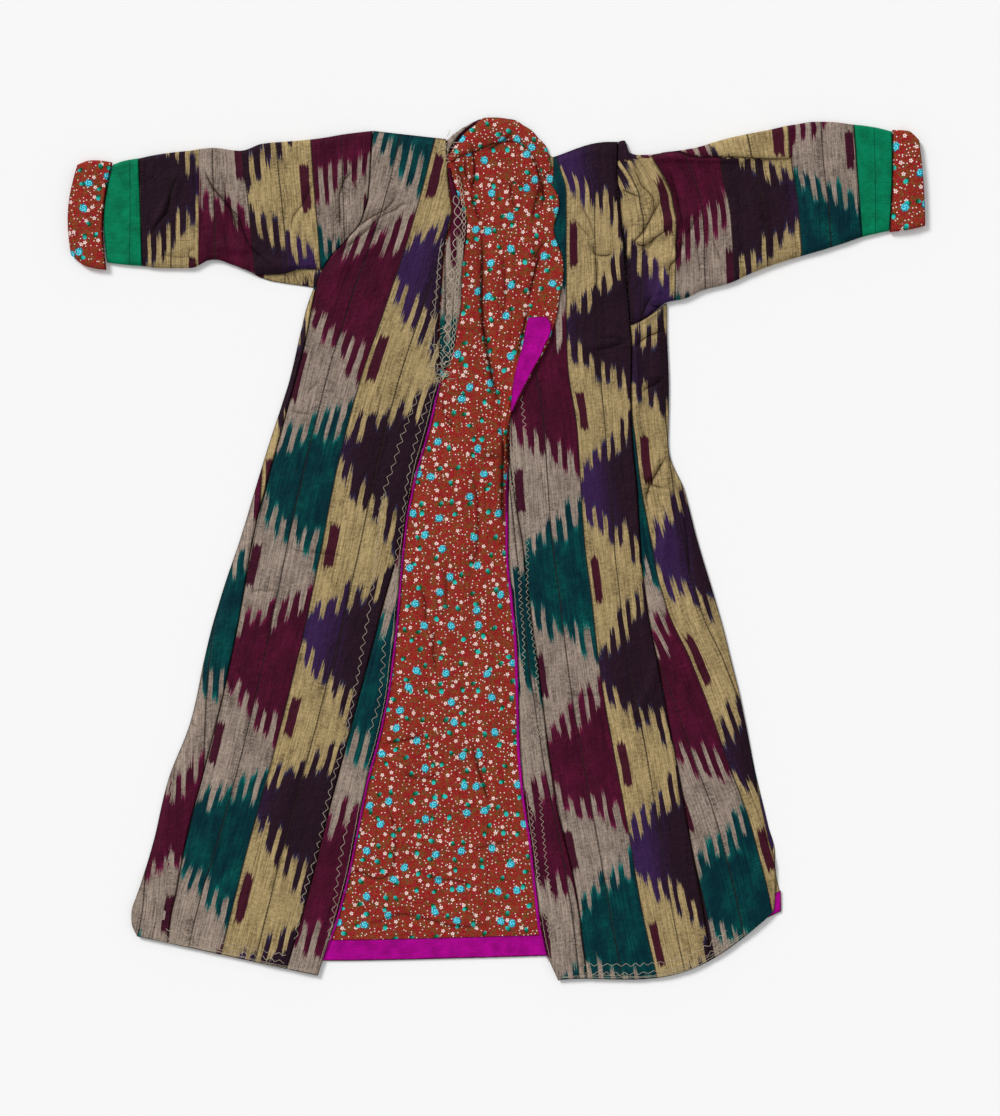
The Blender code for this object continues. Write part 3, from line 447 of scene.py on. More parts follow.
def frontSheet(side, outerName, innerName, channels, seed, step=2.7):
    # one panel of a front between two seams: its grid, underside, top and shading
    data, looks = fronts[side], frontLooks
    at, rows = loft(FrontRow, data["rows"], step, downPath)
    height = (rows.sideY + rows.edgeY) / 2
    isGore, isMain = outerName == "side", innerName == "wedge"
    top = data["armpitY"] if isGore else data["wedgeY"] if innerName == "edge" else 1e4
    if top < 1e4:
        knots = np.append(0, np.cumsum(downPath(np.array(data["rows"], float))))
        first = np.interp(-top, -height, at)
        at = first + spread(knots[-1] - first, step)
        table = np.array(data["rows"], float)
        rows = FrontRow(*(smoothThrough(knots, table[:, i], at) for i in range(7)))
    below = top - (rows.sideY + rows.edgeY) / 2
    lift = data["armpitLift"] * (1 - smoothStep(below / looks["armpitFade"])) if isGore else 0 * below
    outer, inner = getattr(rows, outerName), getattr(rows, innerName)
    start = np.minimum(outer, inner) + layers["seamGap"] / 2
    finish = np.maximum(outer, inner) - layers["seamGap"] / 2
    wide = float(np.median(finish - start))
    fraction = spread(wide, step) / wide
    x = start[:, None] + np.maximum(finish - start, looks["narrowest"])[:, None] * fraction
    reach = np.clip((x - rows.edge[:, None]) / (rows.side - rows.edge)[:, None], 0, 1)
    y = rows.edgeY[:, None] + (rows.sideY - rows.edgeY)[:, None] * reach
    y = y - rows.sag[:, None] * np.sin(math.pi * reach ** data["skew"])
    across = np.clip((x - inner[:, None]) / (outer - inner)[:, None], 0, 1)
    y = y + lift[:, None] * across ** looks["armpitBend"]
    rounded = np.ones_like(x)
    if isGore:
        room = np.clip(np.abs(outer - inner), 1, layers["roundOff"])
        rounded = np.abs(x - outer[:, None]) / room[:, None]
    if isMain:
        rounded = np.minimum(rounded, (y[:1] - y) / layers["roundOff"])
    above, fade = looks["aboveHem"]
    inside = smoothStep(np.maximum(rounded, (backHem(x) + above - y) / fade))
    low = layers["liningLow"] + (layers["frontLow"] - layers["liningLow"]) * inside
    wall = layers["edgeWall"] + (layers["frontWall"] - layers["edgeWall"]) * inside
    rise, fold = creased(x, y, creases)
    covered = 0 * x
    if side == "right":
        (acrossTo, fadeX), (downTo, fadeY) = looks["lapelX"], looks["lapelY"]
        covered = smoothStep((acrossTo - x) / fadeX) * smoothStep((y - downTo) / fadeY)
    relief = quilted(fraction[None, :] + 0 * x, channels, y) + looks["creases"] * rise
    relief = relief + rumple(x, y, looks["rumple"], seed, turn=0.3) * (1 - covered) + looks["filling"]
    relief = relief * inside * roundedEdge(x, y, looks["reliefRound"])
    high = low + wall * roundedEdge(x, y, looks["edgeRound"]) + relief
    return x, y, low, np.maximum(high, low + looks["thinnest"]), shaded(edgeShadow(x, y), fold)


# The back, its lining and its facing

# points of their upper edges, from left to right
backTop = [
    (-179, 604), (-73, 592), (-60, 602), (-44, 613),
    (-9, 624), (17, 622), (40, 612), (60, 595),
    (75, 574), (82, 568), (120, 582), (176, 588),
]
liningTop = [
    (-162, 577), (-73, 572), (-50, 588), (4, 598),
    (50, 580), (82, 554), (165, 545),
]


# The back's grid: from where to where, how low its sides follow the left front, the armpit, where its sides
# turn to the hem's ends, and the shares of its length that bend to its top and its hem
backLooks = {
    "top": 606, "low": -550, "leftLow": -535, "armpit": 319, "toHem": (-480, 60),
    "topShare": 0.25, "hemShare": (0.7, 0.3), "edgeRound": 1.6,
}


def backGrid(step, inset, topPoints, bottomRise):
    # a grid over the back, its sides moved in by the inset; its last row follows the hem
    looks = backLooks
    length = looks["top"] - looks["low"]
    reach = looks["top"] - spread(length, step)
    leftX = through(leftFront, "sideY", "side", np.maximum(reach, looks["leftLow"])) + inset
    armhole = through(rightFront, "sideY", "gore", reach)
    rightX = np.where(reach > looks["armpit"], armhole, through(rightFront, "sideY", "side", reach)) - inset
    start, over = looks["toHem"]
    toHem = smoothStep((start - reach) / over)
    leftX = leftX + (hem["left"][0] + inset - leftX) * toHem
    rightX = rightX + (hem["right"][0] - inset - rightX) * toHem
    wide = float(np.median(rightX - leftX))
    fraction = spread(wide, step) / wide
    x = leftX[:, None] + (rightX - leftX)[:, None] * fraction
    top = smoothThrough(*np.array(topPoints, float).T, x[0])
    low = backHem(x[-1]) + bottomRise
    share = ((looks["top"] - reach) / length)[:, None]
    straight = np.repeat(reach[:, None], len(fraction), 1)
    y = straight + (top - looks["top"])[None, :] * (1 - smoothStep(share / looks["topShare"]))
    start, over = looks["hemShare"]
    return x, y + (low - looks["low"])[None, :] * smoothStep((share - start) / over)


def backSheet(step=9.0):
    # a flat wall on the surface, rounded at its edge
    x, y = backGrid(step, 0.0, backTop, 0.0)
    low = np.zeros_like(x)
    high = low + layers["backWall"] * roundedEdge(x, y, backLooks["edgeRound"])
    return x, y, low, high, shaded(edgeShadow(x, y))


# The lining: how far in it lies, the lapel's edge and how low the lapel reaches, where it shows from, as a
# place and how gradually, and the shadow under the right front's edge
liningLooks = {
    "inset": 22.0, "lapelEdge": -14, "lapelLow": 130,
    "fromLeft": (8, 16), "fromRight": (6, 16), "fromTop": (585, 30), "fromHem": (556, 10),
    "creases": 1.2, "rumple": 0.6, "filling": 0.6, "deepest": -0.3,
    "shadow": 0.6, "shadowWide": 7, "shadowLow": (80, 120), "shadowTop": (150, 20),
}


def liningSheet(step=4.2):
    # the lining rises and folds only where it shows, and has painted shadow beside the right front's edge
    looks = liningLooks
    x, y = backGrid(step, looks["inset"], liningTop, hem["facing"])
    low = np.full_like(x, layers["liningLow"])
    leftEdge = through(leftFront, "edgeY", "edge", y)
    rightEdge = np.where(y > looks["lapelLow"], looks["lapelEdge"], through(rightFront, "edgeY", "edge", y))
    (left, fadeLeft), (right, fadeRight) = looks["fromLeft"], looks["fromRight"]
    shown = smoothStep((x - leftEdge - left) / fadeLeft) * smoothStep((rightEdge - right - x) / fadeRight)
    (top, fadeTop), (hemward, fadeHem) = looks["fromTop"], looks["fromHem"]
    shown = shown * smoothStep((top - y) / fadeTop) * smoothStep((y + hemward) / fadeHem)
    rise, fold = creased(x, y, liningCreases)
    soft = looks["creases"] * rise + rumple(x, y, looks["rumple"], 7, turn=1.5, stretch=1.6)
    soft = soft + looks["filling"]
    high = low + layers["liningWall"] + np.maximum(soft, looks["deepest"]) * shown
    roll = looks["shadow"] * np.exp(-((np.maximum(rightEdge - x, 0) / looks["shadowWide"]) ** 2))
    (lowest, fadeLow), (highest, fadeHigh) = looks["shadowLow"], looks["shadowTop"]
    roll = roll * smoothStep((y + lowest) / fadeLow) * smoothStep((highest - y) / fadeHigh)
    return x, y, low, high, shaded(roll, fold)


def hemFacingSheet(step=4.0):
    # from the lining's lower edge down to the hem
    start, finish = hem["left"][0] + hem["facingInset"], hem["right"][0] - 1
    line = start + spread(finish - start, step)
    tall = hem["facing"] - 1.0
    share = spread(tall, 3.0)[:, None] / tall
    top = backHem(line) + hem["facing"] - layers["seamGap"]
    x = np.repeat(line[None, :], len(share), 0)
    y = top + (backHem(line) + 1 - top) * share
    low = np.full_like(x, layers["liningLow"])
    wave = hem["wave"] * np.sin(line / hem["waveLong"]) * np.sin(math.pi * share)
    wave = wave + rumple(x, y, hem["rumple"], 11)
    high = low + layers["liningWall"] * roundedEdge(x, y, 2.0) + np.maximum(wave, -0.3)
    return x, y, low, high, shaded(hem["shadow"] * edgeShadow(x, y))


# The facings by the openings: from where to where each shows, how wide, which way it looks out, and how
# much painted shade it has under the lapel, from where and how gradually
edgeFacings = {
    "left": {"top": 250, "low": -590, "wide": 3.0, "inward": 1, "hidden": (0.0, 35, 30)},
    "right": {"top": 120, "low": -598, "wide": 3.9, "inward": -1, "hidden": (0.85, 35, 30)},
}
facingLooks = {"gap": 0.5, "atEnds": 0.25, "taper": 60, "uneven": 0.12, "wall": 1.5, "shadow": 0.5}


def edgeFacingSheet(side, step=3.0):
    # the narrow facing that shows beyond the edge of an opening
    data, looks = edgeFacings[side], facingLooks
    top, low, inward = data["top"], data["low"], data["inward"]
    line = top - spread(top - low, step)
    edge = through(fronts[side]["rows"], "edgeY", "edge", line) + inward * looks["gap"]
    ends = np.minimum(top - line, line - low)
    width = data["wide"] * smoothStep(looks["atEnds"] + ends / looks["taper"])
    width = width * (1 + looks["uneven"] * softNoise(line, 0 * line, 40, 3))
    x = edge[:, None] + inward * width[:, None] * np.linspace(0, 1, 7)
    y = np.repeat(line[:, None], 7, 1)
    under = np.full_like(x, layers["frontLow"])
    # painted shade under the lapel, and painted shade along the facing's edge
    most, start, over = data["hidden"]
    dark = np.maximum(looks["shadow"] * edgeShadow(x, y, 0.8), most * smoothStep((y - start) / over))
    return x, y, under, under + looks["wall"] * roundedEdge(x, y, 1.4), shaded(dark)


# Sleeves, green ends and cuffs: flat tubes

SleeveRow = namedtuple("SleeveRow", "topX topY lowX lowY thick")
tubes = {
    "left_sleeve": {
        "rows": [
            (-179, 606, -244, 405, 5.9), (-220, 601, -278, 406, 7.5),
            (-263, 594, -308, 399, 8.5), (-307, 590, -340, 398, 8.5),
            (-340, 587, -365, 405, 8.0), (-372, 577, -386, 413, 7.5),
            (-408, 581, -413, 419, 7.5), (-444, 577, -444, 407, 8.0),
            (-481, 573, -481, 407, 7.5), (-518, 566, -513, 410, 7.0),
        ],
        "wall": 1.8, "quilts": 7, "bows": (0, 0), "gaps": (0.3, 0),
    },
    "right_sleeve": {
        "rows": [
            (176, 590, 194, 325, 5.9), (185, 592, 208, 330, 6.5),
            (193, 574, 230, 345, 7.5), (215, 571, 249, 358, 8.5),
            (244, 575, 270, 362, 8.5), (281, 580, 299, 375, 8.0),
            (317, 590, 334, 384, 8.0), (353, 599, 368, 399, 8.5),
            (394, 607, 405, 413, 8.0), (433, 615, 444, 425, 7.5),
            (472, 619, 488, 438, 7.5), (517, 615, 529, 452, 7.0),
        ],
        "wall": 1.8, "quilts": 8, "bows": (0, 0), "gaps": (0.3, 0),
    },
    "left_sleeve_end": {
        "rows": [
            (-518, 566, -513, 410, 7.0), (-537, 563, -539, 412, 6.6),
            (-556, 557, -564, 415, 6.2),
        ],
        "wall": 1.8, "quilts": 0, "bows": (0, -9), "gaps": (0.3, -0.3),
    },
    "right_sleeve_end": {
        "rows": [
            (517, 615, 529, 452, 7.0), (542, 612, 550, 457, 6.6),
            (573, 605, 569, 461, 6.2),
        ],
        "wall": 1.8, "quilts": 0, "bows": (0, 2), "gaps": (0.3, -0.3),
    },
    "left_cuff": {
        "rows": [
            (-556, 560, -565, 404, 9.5), (-582, 563, -589, 408, 10.5),
            (-606, 557, -615.4, 425, 9.5),
        ],
        "wall": 2.4, "quilts": 0, "bows": (-9, -9), "gaps": (0.45, 0.45),
    },
    "right_cuff": {
        "rows": [
            (573, 607, 569, 459, 9.5), (592, 606, 594, 462, 10.5),
            (611, 593, 619.9, 468, 9.5),
        ],
        "wall": 2.4, "quilts": 0, "bows": (2, 2), "gaps": (0.45, 0.45),
    },
}


# How far in from a tube's ends its relief fades and its lip is rounded, the share of its height in which
# its edges turn, and the share of its length in which it meets the armhole
tubeLooks = {
    "edgeShare": 0.045, "armholeShare": 0.3, "endFade": 25, "lip": 2.2, "lipLow": 0.8, "seamShadow": 1.1,
    "creases": 1.3, "rumple": 0.6, "filling": 0.3, "cuffSoft": 0.5,
}


def tubeRings(name, step=2.7, seed=5):
    # outer and inner rings of a flat tube: points run down its upper face and back under it. The second
    # thing given is the shading of every point.
    data, looks = tubes[name], tubeLooks
    outward = -1 if name.startswith("left") else 1
    at, rows = loft(SleeveRow, data["rows"], step, middlePath)
    share = at / at[-1]
    tall = float(np.mean(np.hypot(rows.topX - rows.lowX, rows.topY - rows.lowY)))
    fraction = spread(tall, step, fine=(0.15, 0.6, 1.4, 2.6, 4.2, 6.0)) / tall
    turned = np.clip(np.minimum(fraction, 1 - fraction) / looks["edgeShare"], 0, 1)
    full = np.sqrt(1 - (1 - turned) ** 2)
    x = rows.topX[:, None] + (rows.lowX - rows.topX)[:, None] * fraction
    y = rows.topY[:, None] + (rows.lowY - rows.topY)[:, None] * fraction
    if name.endswith("_sleeve"):
        side = name.split("_")[0]
        line = through(fronts[side]["rows"], "sideY", "gore", y[0])
        fade = (1 - smoothStep(share / looks["armholeShare"]))[:, None]
        x = x + fade * (line - x[0])[None, :]
    first, last = data["bows"]
    x = x + (first + (last - first) * smoothStep(share))[:, None] * np.sin(math.pi * fraction)
    first, last = data["gaps"]
    x = x + outward * (first + (last - first) * share)[:, None]
    half = rows.thick[:, None] / 2
    ends = np.minimum(share, 1 - share) * at[-1]
    near = smoothStep(ends / looks["endFade"])[:, None]
    rise, fold = creased(x, y, creases)
    relief = looks["creases"] * rise * near + rumple(x, y, looks["rumple"], seed, turn=1.2) + looks["filling"]
    if data["quilts"]:
        relief = relief + quilted(share, data["quilts"], 0 * share)[:, None]
    else:
        relief = relief + looks["cuffSoft"] * softNoise(x, y / 3, 14, seed)
    lip = np.sqrt(1 - (1 - np.clip(ends / looks["lip"], 0, 1)) ** 2)[:, None]
    relief = relief * full**2 * lip - looks["lipLow"] * (1 - lip)
    # painted shade at both ends of the tube, where it is sewn to the next piece
    shade = shaded(np.exp(-((ends / looks["seamShadow"]) ** 2))[:, None] + 0 * x, fold)
    shade = np.concatenate([shade, 0 * shade[:, :, -2:0:-1]], 2).reshape(3, -1)
    rings = []
    for inset in (0, data["wall"]):
        down = 0.5 + (fraction - 0.5) * (1 - 2 * inset / tall)
        ringX = np.array([np.interp(down, fraction, row) for row in x])
        ringY = np.array([np.interp(down, fraction, row) for row in y])
        upper = half + (half - inset) * full + (relief if inset == 0 else 0)
        lower = half - (half - inset) * full
        points = [np.concatenate([a, b[:, -2:0:-1]], 1)
                  for a, b in ((ringX, ringX), (ringY, ringY), (upper, lower))]
        rings.append(np.stack(points, -1))
    return rings, np.concatenate([shade, 0 * shade], 1)


# Narrow pieces: a row for each section, its left and right ends

StripRow = namedtuple("StripRow", "leftX leftY rightX rightY")
strips = {
    "right_lapel": [
        (5, 529, 79, 529), (-2, 499, 91, 499), (-18, 463, 83, 463),
        (-22, 412, 97, 412), (-22, 361, 91, 361), (-18, 310, 79, 310),
        (-9, 260, 54, 260), (1, 216, 32, 216), (4, 190, 20, 190),
        (9, 158, 15, 158), (12, 132, 14, 132),
    ],
    "right_lapel_facing": [
        (46, 335, 72, 336), (42, 318, 79, 321), (38, 296, 71, 297),
        (28, 260, 53, 260), (22, 223, 34, 223), (20, 199, 23, 199),
    ],
    "left_collar_band": [
        (-71, 552, -67, 552), (-68, 521, -59, 521), (-64, 492, -49, 492),
        (-66, 470, -43, 470), (-74, 434, -46, 434), (-78, 397, -50, 397),
        (-80, 361, -51, 361), (-82, 325, -56, 325), (-82, 289, -62, 289),
        (-81, 260, -74, 260),
    ],
    "neck_band": [
        (-71, 567, -66, 560), (-56, 590, -48, 570), (-34, 612, -27, 577),
        (-9, 625, -4, 587), (17, 623, 20, 590), (40, 613, 40, 581),
        (60, 596, 54, 567), (75, 573, 63, 550), (79, 550, 66, 536),
    ],
    "neck_band_outer": [
        (-71, 592, -72, 571), (-60, 602, -61, 591),
        (-46, 611, -48, 605.5), (-33, 619, -34, 616.5),
    ],
    "left_underarm_gusset": [
        (-248, 406.4, -262, 378.5), (-285, 405.5, -288, 382.5),
        (-314, 399.0, -315, 386.5), (-338, 398.7, -338, 392),
        (-354, 401.0, -354, 399.8),
    ],
}


def stripSheet(name, step, under, wall, softness=2.0):
    # a narrow piece, straight across from one edge's curve to the other's. Its underside and its wall are
    # functions of x, y and the fraction across.
    at, strip = loft(StripRow, strips[name], step, middlePath)
    wide = float(np.max(np.hypot(strip.leftX - strip.rightX, strip.leftY - strip.rightY)))
    fraction = spread(wide, step) / wide
    x = strip.leftX[:, None] + (strip.rightX - strip.leftX)[:, None] * fraction
    y = strip.leftY[:, None] + (strip.rightY - strip.leftY)[:, None] * fraction
    across = fraction[None, :] + 0 * x
    low = under(x, y, across)
    high = low + np.maximum(wall(x, y, across) * roundedEdge(x, y, softness), 0.4)
    folded = {"right_lapel": lapelCreases, "neck_band": liningCreases, "left_underarm_gusset": creases}
    rows = folded.get(name)
    fold = creased(x, y, rows)[1] if rows else None
    return x, y, low, high, shaded(0.85 * edgeShadow(x, y, 1.0), fold)


# Roll and fold: how high, where across the lapel and how wide. The fold also has its middle's height, how
# far it reaches from there and how gradually.
lapelLooks = {
    "climb": 0.35, "wall": 2.4, "rumple": 0.45,
    "roll": (2.4, 0.14, 0.1), "fold": (1.5, 0.62, 0.08), "foldAlong": (340, 330, 120),
}
bandLooks = {
    "neck": {"wall": 1.4, "rise": 4.0, "round": 0.8, "reach": (80, 40), "rumple": 0.35},
    "band": {"wall": 1.6, "rise": 1.3, "rumple": 0.25},
    "facing": {"wall": 1.3, "rumple": 0.12},
}


def lapelLow(x, y, across):
    # on the lining at the roll, then rising smoothly onto the front
    climb = smoothStep(across / lapelLooks["climb"])
    return layers["frontLow"] + (layers["lapelLow"] - layers["frontLow"]) * climb


def bell(at, rise, middle, wide):
    # e to the power of minus the squared distance from the middle, in widths
    return rise * np.exp(-(((at - middle) / wide) ** 2))


def lapelWall(x, y, across):
    # two layers of cloth, full along the roll and along a fold near the middle
    middle, reach, over = lapelLooks["foldAlong"]
    fold = bell(across, *lapelLooks["fold"]) * smoothStep((reach - np.abs(y - middle)) / over)
    wall = lapelLooks["wall"] + bell(across, *lapelLooks["roll"]) + fold + creased(x, y, lapelCreases)[0]
    return wall + rumple(x, y, lapelLooks["rumple"], 23, turn=1.4)


def neckWall(x, y, across):
    # a band rolled over: a half sine across it, lower towards its ends
    data = bandLooks["neck"]
    reach, over = data["reach"]
    arch = np.sin(math.pi * across) ** data["round"] * smoothStep((reach - np.abs(x)) / over)
    return data["wall"] + data["rise"] * arch + rumple(x, y, data["rumple"], 29)


def bandWall(x, y, across):
    # a flatter band: a half sine across it
    data = bandLooks["band"]
    return data["wall"] + data["rise"] * np.sin(math.pi * across) + rumple(x, y, data["rumple"], 31, turn=1.5)


def facingWall(x, y, across):
    # thin cloth, nearly flat
    return bandLooks["facing"]["wall"] + rumple(x, y, bandLooks["facing"]["rumple"], 37)


def lyingAt(height):
    # a level underside
    return lambda x, y, across: np.full_like(x, height)


onLining, onLapel, onFloor = (lyingAt(layers[name]) for name in ("frontLow", "lapelTop", "gussetLow"))


# Ikat: how the loom's columns run on each panel. "names" numbers the columns' edges from left to right;
# each row of "edges" is a height and the places of those edges there. "marks" has, for each column, the
# number of its first dyed block and the heights of its blocks' middles. Odd columns are greige with
# maroon (even blocks) and teal (odd ones); even columns are tan with purple and near-black.
ikats = {
    "left_front_panel": {
        "names": (-1, 0, 1), "limit": (-1, 0.999), "shift": 0,
        "edges": [
            (606, -188, -86, 18), (487, -218, -117, -9),
            (361, -265, -157, -49), (173, -312, -217, -104),
            (-16, -357, -257, -147), (-204, -395, -299, -196),
            (-451, -459, -365, -262), (-503, -478, -378, -275),
            (-618, -502, -407, -304),
        ],
        "marks": {
            -1: (-1, (647, 376, 100, -161, -422, -693)),
            0: (-1, (663, 397, 129, -132, -378, -661)),
        },
    },
    "left_side_gore": {
        "names": (-1, 0, 1), "limit": (-1, 3), "shift": 10,
        "edges": [
            (303, -436, -340, -244), (158, -436, -340, -244),
            (-16, -446, -350, -254), (-219, -468, -372, -276),
            (-378, -473, -378, -282), (-503, -478, -382, -286),
            (-567, -488, -392, -297),
        ],
        "marks": {
            -1: (0, (165, -106, -399, -666)),
            0: (0, (506, 233, -38, -306, -574)),
        },
    },
    "left_front_wedge": {
        "names": (1, 2), "limit": (1.01, 1.99), "shift": 20,
        "edges": [(-16, -208, -107), (-306, -285, -183), (-610, -365, -263)],
        "marks": {1: (0, (86, -190, -468, -716))},
    },
    "right_front_panel": {
        "names": (-1, 0, 1), "limit": (-1, 0.999), "shift": 30,
        "edges": [
            (593, -12, 79, 176), (550, -4, 92, 179),
            (506, 5, 101, 182), (463, 5, 101, 183),
            (361, 7, 101, 191), (289, 9, 102, 195),
            (173, 21, 117, 198), (42, 31, 125, 210),
            (-74, 46, 138, 220), (-190, 60, 152, 240),
            (-277, 73, 167, 260), (-407, 96, 191, 279),
            (-509, 115, 208, 295), (-610, 130, 230, 314),
        ],
        "marks": {
            -1: (-1, (509, 225, -45, -306, -552, -813)),
            0: (-2, (570, 318, 86, -175, -436, -697)),
        },
    },
    "right_side_gore": {
        "names": (-1, 0, 1), "limit": (-2, 1.6), "shift": 40,
        "edges": [
            (361, 95, 191, 289), (216, 98, 195, 292),
            (158, 104, 201, 295),
            (6, 130, 225, 321), (-74, 147, 243, 339),
            (-161, 185, 281, 376), (-306, 239, 334, 430),
            (-436, 282, 378, 473), (-596, 317, 413, 508),
        ],
        "marks": {
            -1: (0, (338, 67, -228, -496, -767)),
            0: (0, (535, 264, -1, -289, -560)),
        },
    },
    "right_front_wedge": {
        "names": (-1, 0), "limit": (-0.99, -0.01), "shift": 50,
        "edges": [
            (173, -40, 62), (-74, -14, 88), (-277, 12, 114),
            (-509, 56, 157), (-618, 69, 170),
        ],
        "marks": {-1: (0, (173, -110, -415, -697))},
    },
    "left_sleeve": {
        "names": (1, 0.02, -0.3, -1, -2, -3), "limit": (-2.99, 2), "shift": 60,
        "edges": [
            (622, -520, -430, -428, -373, -270, -178),
            (577, -518, -430, -428, -369, -268, -179),
            (506, -515, -430, -428, -360, -262, -182),
            (400, -513, -431, -430, -349, -254, -183),
        ],
        "marks": {
            0: (0, (792, 522, 249)),
            -1: (-1, (702, 429, 155)),
            -2: (-2, (912, 651, 383, 115)),
            -3: (-1, (883, 615, 344, 71)),
        },
    },
    "right_sleeve": {
        "names": (1, 0, -1, -2, -3), "limit": (-2.99, 2), "shift": 70,
        "edges": [
            (637, 107, 202, 304, 423, 514),
            (567, 130, 225, 323, 427, 518),
            (532, 150, 246, 328, 431, 521),
            (500, 160, 256, 336, 436, 524),
            (463, 165, 260, 340, 439, 526),
            (416, 163, 259, 343, 442, 527),
            (332, 162, 257, 349, 444, 529),
        ],
        "tuck": {"line": [(196, 563), (223, 567), (247, 576), (270, 574), (281, 568), (397, 564), (452, 568)],
                 "hidden": 40, "ends": 428},
        "marks": {
            0: (0, (883, 619, 355, 100)),
            -1: (-1, (816, 545, 245, -28)),
            -2: (0, (770, 497, 222)),
            -3: (0, (687, 452, 175)),
        },
    },
    "left_collar_band": {
        "names": (-1, 0), "limit": (-0.99, -0.01), "shift": 80,
        "edges": [(550, -125, -24), (252, -125, -24)],
        "marks": {-1: (0, (512, 241, -30))},
    },
    "left_underarm_gusset": {
        "names": (0, 1), "limit": (0.01, 0.99), "shift": 90,
        "edges": [(448, -357, -256), (390, -357, -256)],
        "marks": {0: (0, (535, 289, 42))},
    },
    "neck_band_outer": {
        "names": (-1, 0), "limit": (-0.99, -0.01), "shift": 100,
        "edges": [(637, -96, 5), (564, -96, 5)],
        "marks": {-1: (0, (709, 484, 216))},
    },
    "back_panel": {
        "names": (-5, -4, -3, -2, -1, 0, 1, 2, 3, 4), "limit": (-5.9, 4.9), "shift": 110,
        "edges": [(y,) + tuple(101 * k + 0.02 * y * k for k in range(-5, 5)) for y in (600, 0, -600)],
        "marks": {c: (0, tuple(700 - 110 * (c % 2) - 271 * k for k in range(7))) for c in range(-5, 5)},
    },
}


def grainOf(x, y, cloth):
    # the loom's coordinates at each point: how many columns across, and how many blocks down for the
    # nearest odd column and the nearest even one. A weft runs square to the columns' edges.
    rows = np.array(cloth["edges"], float)
    names = cloth["names"]
    if "tuck" in cloth:
        # above the line of a tuck the cloth goes on from beyond what the tuck hides
        tuck = cloth["tuck"]
        line = np.interp(x, *np.array(tuck["line"], float).T)
        y = y + tuck["hidden"] * ((y > line) & (x < tuck["ends"]))

    def edge(i, height):
        # where one of the columns' edges is at this height
        return smoothThrough(-rows[:, 0], rows[:, i + 1], -height)

    edges = [edge(i, y) for i in range(len(names))]
    column = names[0] + (x - edges[0]) / (edges[1] - edges[0]) * (names[1] - names[0])
    for i in range(1, len(names) - 1):
        further = names[i] + (x - edges[i]) / (edges[i + 1] - edges[i]) * (names[i + 1] - names[i])
        column = np.where(x > edges[i], further, column)
    # past its last column the cloth repeats that column the other way round, and leaves out its bars
    first, last = cloth["limit"]
    column = np.where(column < first, 2 * first - column + 0.16, column)
    column = np.where(column > last, 2 * last - column, column)
    downs = {}
    for number, (first, heights) in cloth["marks"].items():
        ends = [i for i, name in enumerate(names) if number <= name <= number + 1]
        middle = sum(edge(i, y) for i in ends) / len(ends)
        lean = sum(edge(i, y + 8) - edge(i, y - 8) for i in ends) / (16 * len(ends))
        level = -(y + lean * (x - middle))
        downs[number] = smoothThrough(-np.array(heights, float), first + np.arange(len(heights)), level)
    found = []
    for parity in (1, 0):
        numbers = sorted(number for number in downs if number % 2 == parity)
        value = downs[numbers[0]] if numbers else np.zeros_like(x)
        for near, far in zip(numbers[:-1], numbers[1:]):
            share = smoothStep((column - near - 1) / (far - near - 1))
            value = value * (1 - share) + downs[far] * share
        found.append(value)
    return np.stack([column + cloth["shift"], found[0], found[1]], -1)


def printOf(x, y, turn, moveX, moveY):
    # the flowered print's own coordinates, turned and moved from piece to piece
    along = x * math.cos(turn) + y * math.sin(turn) + moveX
    across = y * math.cos(turn) - x * math.sin(turn) + moveY
    return np.stack([along, across, np.zeros_like(x)], -1)


# Materials


class Wires:
    # adds nodes to one tree and joins them
    def __init__(self, tree):
        self.tree = tree

    def add(self, kind, **settings):
        node = self.tree.nodes.new(kind)
        for name, value in settings.items():
            setattr(node, name, value)
        return node

    def put(self, socket, value):
        # a link from another socket, or else a plain value
        if isinstance(value, bpy.types.NodeSocket):
            self.tree.links.new(value, socket)
        else:
            socket.default_value = value

    def math(self, operation, *values):
        node = self.add("ShaderNodeMath", operation=operation)
        for socket, value in zip(node.inputs, values):
            self.put(socket, value)
        return node.outputs[0]

    def plus(self, first, *others):
        for other in others:
            first = self.math("ADD", first, other)
        return first

    def times(self, first, *others):
        for other in others:
            first = self.math("MULTIPLY", first, other)
        return first

    def minus(self, first, second):
        return self.math("SUBTRACT", first, second)

    def blend(self, share, first, second):
        # the first number where the share is 0, the second where it is 1
        return self.plus(first, self.times(share, self.minus(second, first)))

    def ramp(self, value, low, high):
        # 0 at low, 1 at high, a smooth rise between
        node = self.add("ShaderNodeMapRange", interpolation_type="SMOOTHSTEP")
        for name, number in (("Value", value), ("From Min", low), ("From Max", high)):
            self.put(node.inputs[name], number)
        return node.outputs[0]

    def mix(self, share, first, second, kind="MIX"):
        # the first colour where the share is 0, the second where it is 1
        node = self.add("ShaderNodeMix", data_type="RGBA", blend_type=kind)
        self.put(node.inputs[0], share)
        self.put(node.inputs[6], first)
        self.put(node.inputs[7], second)
        return node.outputs[2]

    def split(self, vector):
        node = self.add("ShaderNodeSeparateXYZ")
        self.put(node.inputs[0], vector)
        return node.outputs[0], node.outputs[1], node.outputs[2]

    def join(self, x, y, z=0.0):
        node = self.add("ShaderNodeCombineXYZ")
        for socket, value in zip(node.inputs, (x, y, z)):
            self.put(socket, value)
        return node.outputs[0]

    def chance(self, x, y, z=0.0):
        # an even random number for each set of whole numbers
        node = self.add("ShaderNodeTexWhiteNoise", noise_dimensions="3D")
        self.put(node.inputs["Vector"], self.join(x, y, z))
        return node.outputs["Value"]

    def noise(self, vector, scale=1.0, detail=2.0, roughness=0.5):
        node = self.add("ShaderNodeTexNoise")
        self.put(node.inputs["Vector"], vector)
        for name, value in (("Scale", scale), ("Detail", detail), ("Roughness", roughness)):
            node.inputs[name].default_value = value
        return node.outputs[0]


